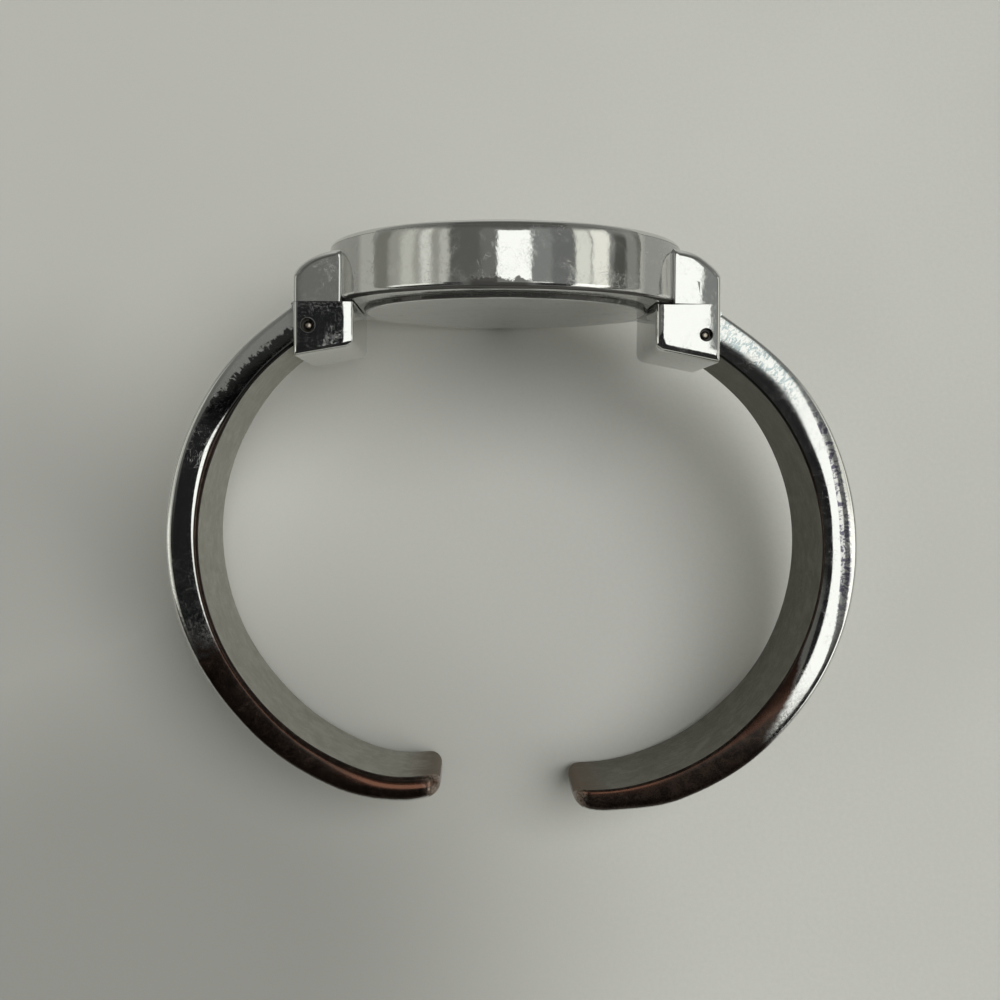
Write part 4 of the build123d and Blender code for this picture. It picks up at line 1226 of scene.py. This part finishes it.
CH = (0.70, 0.705, 0.685)
case_mat = chrome("plating_case", CH, 0.045, 0.30, 0.55, 0.6, 0.30, plane="YZ", seed=1.0, painted_shade=band_edge_shade, rag=0.065, relief=0.75)
hood_mat = chrome("plating_hood", CH, 0.04, 0.28, 0.55, 0.5, 0.22, plane="XY", seed=2.0, haze=0.08, rag=0.06)
block_mat_l = chrome("plating_block_left", CH, 0.04, 0.28, 0.75, 0.6, 0.24, plane="XY", seed=3.0, painted_shade=pin_hole_shade(-1), haze=0.035, rag=0.09)
block_mat_r = chrome("plating_block_right", CH, 0.04, 0.28, 0.6, 0.6, 0.24, plane="XY", seed=8.0, painted_shade=pin_hole_shade(1), haze=0.08, rag=0.09)
bezel_mat = chrome("plating_bezel", CH, 0.05, 0.22, 0.4, 0.35, 0.15, plane="XZ", seed=4.0)
back_mat = chrome("plating_back", (0.66, 0.665, 0.65), 0.09, 0.34, 0.6, 0.7, 0.25, plane="XZ", seed=5.0, painted_shade=back_groove_shade)
crown_mat = chrome("plating_crown", CH, 0.05, 0.24, 0.4, 0.3, 0.15, plane="XY", seed=6.0)


def arm_material(name, side):
    """Plating on the arms: a mirror on the sides, worn to a dark copper tone along the inner edges and at the tips,
    with a painted pinkish highlight along the inner edge near the tips.
    """
    m, g, b = material(name)
    p0 = g.attr("pc")
    v = g.vmath("ADD", p0, (side * 9.1, 4.2, 1.7))
    s, q, h = (g.attr(k, "Fac") for k in ("arm_s", "arm_q", "arm_h"))
    big = g.noise(v, 0.16, 3.0, 0.6, 0.4)
    mid = g.noise(v, 0.8, 5.0, 0.65, 0.8)
    fine = g.noise(v, 4.5, 5.0, 0.70, 0.3)
    speck = g.noise(v, 13.0, 2.0, 0.6)
    jag = (fine - 0.5) * 0.5 + (mid - 0.5) * 0.6
    if side < 0:
        th = g.ss(46.0, 48.5, s, 73.5, 87.0)
        edge = g.ss(3.5, -3.5, h - th)
        low = g.ss(36.0, 19.0, s) * g.ss(165.0, 110.0, h)
    else:
        edge = g.ss(68.0, 61.0, h)
        low = g.ss(25.0, 15.5, s + (h - 88.0).min(3.0) * 0.34) * g.ss(165.0, 118.0, h)
    end = g.ss(2.0, 0.5, s)
    wear = g.ss(0.36, 0.66, (edge * 1.25).max(low).max(end * 1.2) * 0.9 + jag * 0.7)
    lines = None
    for a, ln, w, kp in ((8, 3.2, 0.08, 0.70), (-28, 2.0, 0.07, 0.71), (62, 1.5, 0.06, 0.72), (-70, 1.7, 0.07, 0.72)):
        t = scratches(g, v, a + side * 17, ln, w, kp)
        lines = t if lines is None else lines.max(t)
    curl = curls(g, v, 0.8, 0.0045, 5.0 + side)
    lines = (lines * 0.8).max(curl * 0.7) * g.ss(0.50, 0.64, g.noise(v, 0.4, 2.0, 0.5))
    smear = g.ss(0.48, 0.70, mid * 0.6 + fine * 0.4) * g.ss(0.38, 0.60, big)
    if side > 0:
        fade = g.ss(26.0, 18.5, s + jag * 5.0)
        blur = fade * 0.14 + g.ss(42.0, 50.0, s) * 0.085
    else:
        fade = g.ss(40.0, 24.0, s + jag * 6.0) * 0.8
        blur = fade * 0.05
    g.put(b.inputs["Roughness"], 0.045 + smear * 0.12 + lines * 0.10 + wear * 0.08 + g.ss(0.40, 0.70, fine) * 0.04 + blur)
    plate_tone = g.mix(smear * 0.4, (0.70, 0.705, 0.685), (0.60, 0.60, 0.58))
    plate_tone = g.mix(fade * g.ss(0.66, 0.40, fine) * g.ss(145.0, 118.0, h) * 0.9, plate_tone, (0.10, 0.095, 0.085))
    rub = g.noise(g.com(s * 1.1, q * 0.55, g.sep(v)[2] * 0.6), 2.6, 4.0, 0.7, 0.6)
    if side > 0:
        # a rubbed patch on the outer half of the near side, a little violet, and a bluish one by the hinge
        patch = g.ss(89.6, 90.6, h) * g.ss(108.0, 102.0, h) * g.ss(27.0, 34.0, s) * g.ss(52.0, 47.0, s) * g.ss(0.46, 0.57, rub)
        blue = g.ss(48.5, 53.0, s) * g.ss(74.0, 80.0, h) * g.ss(100.0, 94.0, h) * g.ss(0.47, 0.58, rub)
        plate_tone = g.mix(patch, plate_tone, (0.15, 0.14, 0.19))
        plate_tone = g.mix(blue * 0.75, plate_tone, (0.30, 0.38, 0.40))
    else:
        # the outer half of the side is dulled near the hinge, with a ragged border
        patch = g.ss(91.6, 92.4, h + (rub - 0.5) * 3.0) * g.ss(46.5, 51.5, s) * 0.6
        stain = g.ss(44.5, 48.5, s + (rub - 0.5) * 5.0) * g.ss(92.15, 91.85, h + (rub - 0.5) * 3.2)
        plate_tone = g.mix(stain * 0.92, plate_tone, (0.050, 0.054, 0.050))
    # painted highlight: a pinkish line along the inner edge near the tips
    painted_tip_highlight = g.ss(12.0, 6.0, s + (mid - 0.5) * 5.0) * g.ss(58.0, 70.0, h) * g.ss(92.0, 86.0, h)
    copper = g.mix(g.ss(0.36, 0.66, mid * 0.6 + fine * 0.4), (0.014, 0.010, 0.008), (0.048, 0.031, 0.023))
    red = g.ss(60.0, 74.0, h) * g.ss(84.0, 76.0, h)
    # the pinkish colour is the painted highlight where painted_tip_highlight is set, and a reddish band along the inner
    # edge rounding where red is set
    copper = g.mix((painted_tip_highlight * 0.62).max(red * 0.26), copper, (0.19, 0.078, 0.046))
    copper = g.mix(g.ss(43.0, 49.0, s), copper, (0.020, 0.019, 0.017))
    copper = g.mix(end * g.ss(0.30, 0.62, fine) * 0.8, copper, (0.42, 0.33, 0.27))
    g.put(b.inputs["Base Color"], g.mix(wear, plate_tone, copper))
    dull = smear * (0.10 if side > 0 else 0.04) + patch * 0.16 + lines * (0.22 if side > 0 else 0.12) + g.ss(0.56, 0.75, speck) * (0.05 if side > 0 else 0.03) + 0.01
    g.put(b.inputs["Metallic"], (1.0 - dull.min(0.7)) * (1.0 - wear * 0.20))
    hgt = g.noise(v, 0.15, 1.0, 0.4) * 0.8 + g.noise(v, 0.6, 2.0, 0.5) * 0.12
    n1 = g.bump(hgt, 0.14, 0.00024)
    n2 = g.bump(lines * -0.22 + fine * (0.32 + wear * 0.25), 0.30, 0.00002, n1)
    g.put(b.inputs["Normal"], n2)
    return m


def satin_material(name, side, tone0, tone1):
    """The arms' inner faces, satin and a little dirty, browner by the tip."""
    m, g, b = material(name)
    p0 = g.attr("pc")
    v = g.vmath("ADD", p0, (side * 5.1, 2.2, 8.7))
    s, q = g.attr("arm_s", "Fac"), g.attr("arm_q", "Fac")
    mid = g.noise(v, 0.7, 5.0, 0.65, 0.8)
    fine = g.noise(v, 5.0, 4.0, 0.7, 0.3)
    grain = g.noise(g.com(s * 0.35, q * 5.0, 0.0), 1.0, 3.0, 0.6)
    blot = g.ss(0.36, 0.68, mid * 0.65 + fine * 0.35)
    tone = g.mix(blot, tone0, tone1)
    tone = g.mix(g.ss(0.52, 0.80, grain) * 0.3, tone, tuple(c * 0.7 for c in tone0))
    tip = g.ss(4.2, 0.6, s + (mid - 0.5) * 3.0)
    tone = g.mix(tip * 0.8, tone, (0.20, 0.145, 0.11))
    g.put(b.inputs["Base Color"], tone)
    b.inputs["Specular Tint"].default_value = (0.50, 0.50, 0.48, 1.0)
    g.put(b.inputs["Metallic"], 0.86 - blot * 0.14)
    g.put(b.inputs["Roughness"], 0.40 + (grain - 0.5) * 0.14 + (mid - 0.5) * 0.16)
    g.put(b.inputs["Normal"], g.bump(fine * 0.8 + grain * 1.2, 0.35, 0.00002))
    return m


arm_mat_l, arm_mat_r = arm_material("plating_arm_left", -1.0), arm_material("plating_arm_right", 1.0)
# one satin finish in two tones: the left inner face lighter as painted light, the right darker as painted shade, for
# light falling from the right
satin_l = satin_material("satin_arm_left_painted_light", -1.0, (0.44, 0.435, 0.39), (0.58, 0.575, 0.53))
satin_r = satin_material("satin_arm_right_painted_shade", 1.0, (0.19, 0.185, 0.16), (0.30, 0.295, 0.265))


def steel(name, color, rough=0.35, coords="pc", stretch=(1, 1, 1)):
    m, g, b = material(name)
    v = g.attr("pc") if coords else obj_mm(g)
    a = g.noise(g.turned(v, 0, stretch), 3.0, 4.0, 0.6)
    f = g.noise(v, 9.0, 3.0, 0.6)
    g.put(b.inputs["Base Color"], g.mix(g.ss(0.3, 0.7, a), tuple(c * 0.8 for c in color), color))
    g.put(b.inputs["Roughness"], g.lin(0.3, 0.7, a * 0.6 + f * 0.4, rough * 0.75, rough * 1.25))
    b.inputs["Metallic"].default_value = 1.0
    g.put(b.inputs["Normal"], g.bump(f, 0.25, 0.00001))
    return m


def plain(name, color, rough=0.5, coords=None, grain=6.0, spread=0.12, bump=0.2):
    m, g, b = material(name)
    v = g.attr("pc") if coords else obj_mm(g)
    a = g.noise(v, grain, 4.0, 0.6)
    f = g.noise(v, grain * 3, 2.0, 0.5)
    g.put(b.inputs["Base Color"], g.mix(g.ss(0.3, 0.7, a), tuple(c * (1 - spread) for c in color), tuple(min(1, c * (1 + spread)) for c in color)))
    g.put(b.inputs["Roughness"], g.lin(0.3, 0.7, f, rough * 0.85, min(1, rough * 1.15)))
    g.put(b.inputs["Normal"], g.bump(a, bump, 0.00001))
    return m


pin_mat = steel("turned_pin", (0.62, 0.56, 0.47), 0.30, stretch=(0.3, 8, 8))
spring_mat = steel("spring_leaf", (0.45, 0.46, 0.48), 0.35, coords=None)


def dial_material():
    """Silvery sunray dial."""
    m, g, b = material("dial_sunray")
    v = g.attr("pc")
    x, y, z = g.sep(v)
    a = g.math("ARCTAN2", z, x)
    r = g.math("SQRT", x * x + z * z)
    rays = g.noise(g.com(a * 40.0, r * 0.06, 0.0), 1.0, 4.0, 0.7)
    soft = g.noise(v, 0.2, 2.0, 0.5)
    tone = g.mix(g.ss(0.3, 0.7, rays), (0.78, 0.775, 0.74), (0.90, 0.895, 0.86))
    tone = g.mix(g.ss(0.4, 0.7, soft) * 0.15, tone, (0.80, 0.78, 0.72))
    g.put(b.inputs["Base Color"], tone)
    b.inputs["Metallic"].default_value = 0.35
    g.put(b.inputs["Roughness"], g.lin(0.3, 0.7, rays, 0.34, 0.46))
    g.put(b.inputs["Normal"], g.bump(rays, 0.12, 0.00001))
    return m


def glass_material():
    """Thin clear crystal: mostly let through, with a reflection by angle."""
    m = bpy.data.materials.new("crystal_clear")
    m.use_nodes = True
    g = Graph(m.node_tree)
    for n in list(m.node_tree.nodes):
        if n.type != "OUTPUT_MATERIAL":
            m.node_tree.nodes.remove(n)
    out = next(n for n in m.node_tree.nodes if n.type == "OUTPUT_MATERIAL")
    v = g.attr("pc")
    t = m.node_tree.nodes.new("ShaderNodeBsdfTransparent")
    t.inputs[0].default_value = (0.955, 0.975, 0.965, 1)
    gl = m.node_tree.nodes.new("ShaderNodeBsdfGlossy")
    gl.inputs["Color"].default_value = (1, 1, 1, 1)
    sm = g.noise(v, 0.5, 4.0, 0.6)
    g.put(gl.inputs["Roughness"], g.lin(0.4, 0.75, sm, 0.01, 0.06))
    fr = m.node_tree.nodes.new("ShaderNodeFresnel")
    fr.inputs["IOR"].default_value = 1.5
    mx = m.node_tree.nodes.new("ShaderNodeMixShader")
    m.node_tree.links.new(fr.outputs[0], mx.inputs[0])
    m.node_tree.links.new(t.outputs[0], mx.inputs[1])
    m.node_tree.links.new(gl.outputs[0], mx.inputs[2])
    m.node_tree.links.new(mx.outputs[0], out.inputs[0])
    return m


dial_mat, glass_mat = dial_material(), glass_material()
hand_mat = chrome("plating_hands", (0.62, 0.62, 0.61), 0.08, 0.22, 0.3, 0.2, 0.05, plane="XZ", seed=7.0)
print_mat = plain("dial_print", (0.03, 0.03, 0.032), 0.45, coords="pc")
rehaut_mat = steel("inner_ring_satin", (0.74, 0.74, 0.71), 0.32)

give(drum, case_mat, "case", ["case_middle"])
give(hood_l, hood_mat, "case", ["case_middle"])
give(hood_r, hood_mat, "case", ["case_middle"])
give(block_l, block_mat_l, "case", ["hinge_block_left"])
give(block_r, block_mat_r, "case", ["hinge_block_right"])
give(arm_l, arm_mat_l, "arm_left", ["cuff_arm_left"])
give(arm_r, arm_mat_r, "arm_right", ["cuff_arm_right"])
split_finish(arm_l, satin_l)
split_finish(arm_r, satin_r)
give(bezel, bezel_mat, "case", ["bezel"])
give(crystal, glass_mat, "case", ["crystal"])
give(rehaut, rehaut_mat, "case", ["dial_ring"])
give(dial, dial_mat, "case", ["dial"])
give(markers, hand_mat, "case", ["hour_markers"])
give(track, print_mat, "case", ())
give(h_hand, hand_mat, "hours", ["hour_hand"])
give(m_hand, hand_mat, "minutes", ["minute_hand"])
give(s_hand, hand_mat, "seconds", ["second_hand"])
give(back, back_mat, "case", ["case_back"])
give(crown, crown_mat, "crown", ["crown"])
give(pin_l, pin_mat, "case", ["hinge_pin_left"])
give(pin_r, pin_mat, "case", ["hinge_pin_right"])

# CAD nodes that stay, with their finishes
cad_mats = {
    "black_rubber": plain("seal_rubber", (0.02, 0.02, 0.02), 0.6),
    "white_nylon": plain("nylon_white", (0.80, 0.80, 0.77), 0.45),
    "grey_plastic": plain("holder_plastic", (0.55, 0.55, 0.53), 0.5),
    "nickel_plate": steel("nickel_satin", (0.62, 0.60, 0.54), 0.33, coords=None, stretch=(6, 0.6, 1)),
    "copper_wire": steel("copper_enamel", (0.70, 0.30, 0.16), 0.35, coords=None, stretch=(1, 1, 20)),
    "green_board": plain("board_green", (0.03, 0.16, 0.07), 0.4),
    "steel_can": steel("can_steel", (0.60, 0.60, 0.60), 0.28, coords=None),
    "black_plastic": plain("chip_black", (0.02, 0.02, 0.022), 0.4),
    "dark_magnet": steel("magnet_dark", (0.16, 0.16, 0.17), 0.4, coords=None),
    "brass_gear": steel("gilt_brass", (0.78, 0.58, 0.26), 0.3, coords=None),
    "steel_pin": steel("tube_steel", (0.55, 0.54, 0.52), 0.35, coords=None),
    "spring_steel": spring_mat,
}
slots = {p["node"]: p["material_slot"] for p in frame["record"]["subparts"]}
for name, ob in frame["nodes"].items():
    if ob.hide_render:
        continue
    mat = cad_mats.get(slots.get(name), spring_mat)
    if not ob.material_slots:
        ob.data.materials.append(mat)
    for sl in ob.material_slots:
        sl.material = mat

# ---------------------------------------------------------------------------
# floor, light, camera
# ---------------------------------------------------------------------------
fm = bpy.data.meshes.new("floor")
n = 96
fv = [(2.5 * math.cos(2 * math.pi * i / n), 2.5 * math.sin(2 * math.pi * i / n), 0) for i in range(n)]
fm.from_pydata(fv, [], [tuple(range(n))])
floor = bpy.data.objects.new("floor", fm)
COL.objects.link(floor)
m, g, b = material("floor_pale")
v = obj_mm(g)
x, y, z = g.sep(v)
c0 = g.noise(v, 0.03, 2.0, 0.5)
c1 = g.noise(v, 2.2, 5.0, 0.65)
# painted shade: the floor's tone falls off towards the left, as light dimming across it
fall = g.ss(-46.0, 44.0, x - y * 0.10)
tone = g.mix(fall, (0.590, 0.590, 0.550), (0.655, 0.657, 0.614))
tone = g.mix(g.ss(0.35, 0.65, c0 * 0.5 + c1 * 0.5) * 0.4, tone, (0.57, 0.572, 0.532))
# painted shadows: two soft dark patches, at the lower left and at the left, darken the floor
painted_shadow_low_left = g.ss(54.0, 14.0, g.vmath("LENGTH", g.com((x + 38.0) * 0.9, y + 44.0, 0.0)))
left = g.ss(29.0, 8.0, g.vmath("LENGTH", g.com(x + 52.0, (y + 8.0) * 0.7, 0.0))) * 0.6
tone = g.mix(painted_shadow_low_left.max(left), tone, (0.345, 0.347, 0.319))
g.put(b.inputs["Base Color"], tone)
g.put(b.inputs["Normal"], g.bump(c1, 0.10, 0.00010))
b.inputs["Roughness"].default_value = 0.75
b.inputs["Specular IOR Level"].default_value = 0.25
fm.materials.append(m)

world = bpy.data.worlds.new("studio")
bpy.context.scene.world = world
world.use_nodes = True
wt = world.node_tree
for nd in list(wt.nodes):
    if nd.type not in ("OUTPUT_WORLD", "BACKGROUND"):
        wt.nodes.remove(nd)
bg = next(nd for nd in wt.nodes if nd.type == "BACKGROUND")
g = Graph(wt)
d = g.node("ShaderNodeTexCoord", out="Generated")
d = g.vmath("NORMALIZE", d)
dX = g.vmath("DOT_PRODUCT", d, (1, 0, 0))
dY = g.vmath("DOT_PRODUCT", d, (0, CT, ST))
dZ = g.vmath("DOT_PRODUCT", d, (0, -ST, CT))
up = g.sep(d)[2]
ax = g.math("ARCTAN2", dX, dZ) * 57.29578
ay = g.math("ARCSINE", dY) * 57.29578


ruffle = g.noise(d, 5.0, 2.0, 0.5)
axr = ax + (ruffle - 0.5) * 3.0


def zone(x0, x1, sx, y0, y1, sy, along=None):
    """1 inside a patch of the sky, in degrees along and across the band, with soft sides."""
    x = axr if along is None else along
    a = g.ss(x0 - sx, x0 + sx, x) * g.ss(x1 + sx, x1 - sx, x)
    return a * g.ss(y0 - sy, y0 + sy, ay) * g.ss(y1 + sy, y1 - sy, ay)


sky = g.mix(g.ss(-0.05, 0.7, up), (0.30, 0.30, 0.280), (0.17, 0.17, 0.160))
LIGHTS = [
    # x0, x1, soft, y0, y1, soft, colour
    (-92, -79, 3.0, -18, 26, 5.0, (0.20, 0.20, 0.175)),
    (-79, -35, 3.0, -16, 27, 4.0, (0.36, 0.36, 0.32)),
    (-70, -60, 3.0, -16, 25, 4.0, (0.60, 0.60, 0.54)),
    (-56, -49, 2.5, -16, 25, 4.0, (0.78, 0.78, 0.72)),
    (-43, -37.5, 1.5, -16, 25, 4.0, (0.56, 0.56, 0.52)),
    (-78, -50, 4.0, -16, 1, 3.0, (1.10, 1.10, 1.02)),
    (-40, -15, 2.0, -60, 4, 4.0, (0.013, 0.013, 0.012)),
    (-36, -15, 2.0, 0, 26, 4.0, (0.110, 0.110, 0.102)),
    (-17, 20, 2.0, 5, 24, 4.0, (0.165, 0.165, 0.157)),
    (-40, 40, 4.0, 25, 44, 4.0, (0.085, 0.085, 0.080)),
    (-100, 44, 4.0, -60, -17, 3.0, (0.020, 0.020, 0.019)),
    (-30, 44, 4.0, -60, -12, 5.0, (0.014, 0.014, 0.014)),
    (15, 29, 1.0, -9, 26, 5.0, (0.24, 0.25, 0.24)),
    (28, 43, 1.5, -9, 26, 5.0, (0.165, 0.17, 0.165)),
    (43.5, 68, 1.3, -30, 25, 5.0, (0.90, 0.90, 0.82)),
    (55.5, 67, 2.0, -30, 25, 5.0, (1.05, 1.04, 0.95)),
    (53.2, 54.6, 0.6, -30, 25, 5.0, (0.36, 0.36, 0.34)),
    (72, 81, 2.0, -36, 22, 7.0, (0.075, 0.075, 0.066)),
    (82, 88, 2.5, -36, 17, 7.0, (0.26, 0.26, 0.24)),
    (90, 106, 3.0, -36, 24, 7.0, (0.145, 0.145, 0.125)),
]
for x0, x1, sx, y0, y1, sy, colour in LIGHTS:
    sky = g.mix(zone(x0, x1, sx, y0, y1, sy), sky, colour)
# paler on the side that the dial faces
sky = g.mix(g.ss(54.0, 74.0, ay), sky, (0.58, 0.58, 0.55))
# dark towards the near side, all the way round
sky = g.mix(g.ss(-50.0, -58.0, ay), sky, (0.018, 0.018, 0.018))
# the dark ceiling left of the panel, its upper side slanting
slant = ay - (ax + 7.0) * 0.34 - 6.9
dark = g.ss(-21.5, -19.5, ax) * g.ss(-5.0, -6.4, ax) * g.ss(0.5, -0.5, slant) * g.ss(-26, -22, ay)
sky = g.mix(dark, sky, (0.007, 0.007, 0.008))
# the side window at the right, brightest low down
sky = g.mix(zone(44, 68, 1.5, -34, 2.0, 3.0), sky, (1.55, 1.54, 1.46))
# the ceiling panel, and its wider lower part
sky = g.mix(zone(14, 18.5, 1.0, -11.0, -4.5, 1.0, ax), sky, (1.35, 1.35, 1.30))
sky = g.mix(zone(14, 28, 1.0, -5.0, 2.0, 1.5, ax), sky, (1.15, 1.15, 1.10))
sky = g.mix(zone(-6.5, 15.2, 0.3, -11.2, 20.5, 0.8, ax), sky, (1.36, 1.38, 1.33))
g.put(bg.inputs["Color"], sky)
bg.inputs["Strength"].default_value = 1.0

# a large soft lamp from the upper right throws the shadows on the floor
lamp = bpy.data.lights.new("soft_lamp", "SUN")
lamp.energy = 1.55
lamp.angle = rad(42)
lamp_ob = bpy.data.objects.new("soft_lamp", lamp)
COL.objects.link(lamp_ob)
to_lamp = row_dir((math.cos(rad(10)) * math.sin(rad(24)), math.sin(rad(10)), math.cos(rad(10)) * math.cos(rad(24))))
lamp_ob.rotation_euler = to_lamp.to_track_quat("Z", "Y").to_euler()
lamp_ob.visible_glossy = False

cam_data = bpy.data.cameras.new("camera")
cam = bpy.data.objects.new("camera", cam_data)
COL.objects.link(cam)
cam_data.sensor_width = 36.0
cam_data.lens = 46.8
cam_data.clip_start, cam_data.clip_end = 0.005, 20
ex = row_dir((0.99980749, 0.00499366, 0.018975))
ey = row_dir((-0.00436473, 0.9994444, -0.03304299))
ez = row_dir((-0.01912946, 0.03295381, 0.99927379))
pos = row([(-2.840, 2.839, 127.345)])[0]
M = Matrix(((ex[0], ey[0], ez[0], pos[0]), (ex[1], ey[1], ez[1], pos[1]), (ex[2], ey[2], ez[2], pos[2]), (0, 0, 0, 1)))
cam.matrix_world = M
bpy.context.scene.camera = cam
vs = bpy.context.scene.view_settings
vs.view_transform = "Standard"
vs.look = "None"
vs.exposure = 0.0
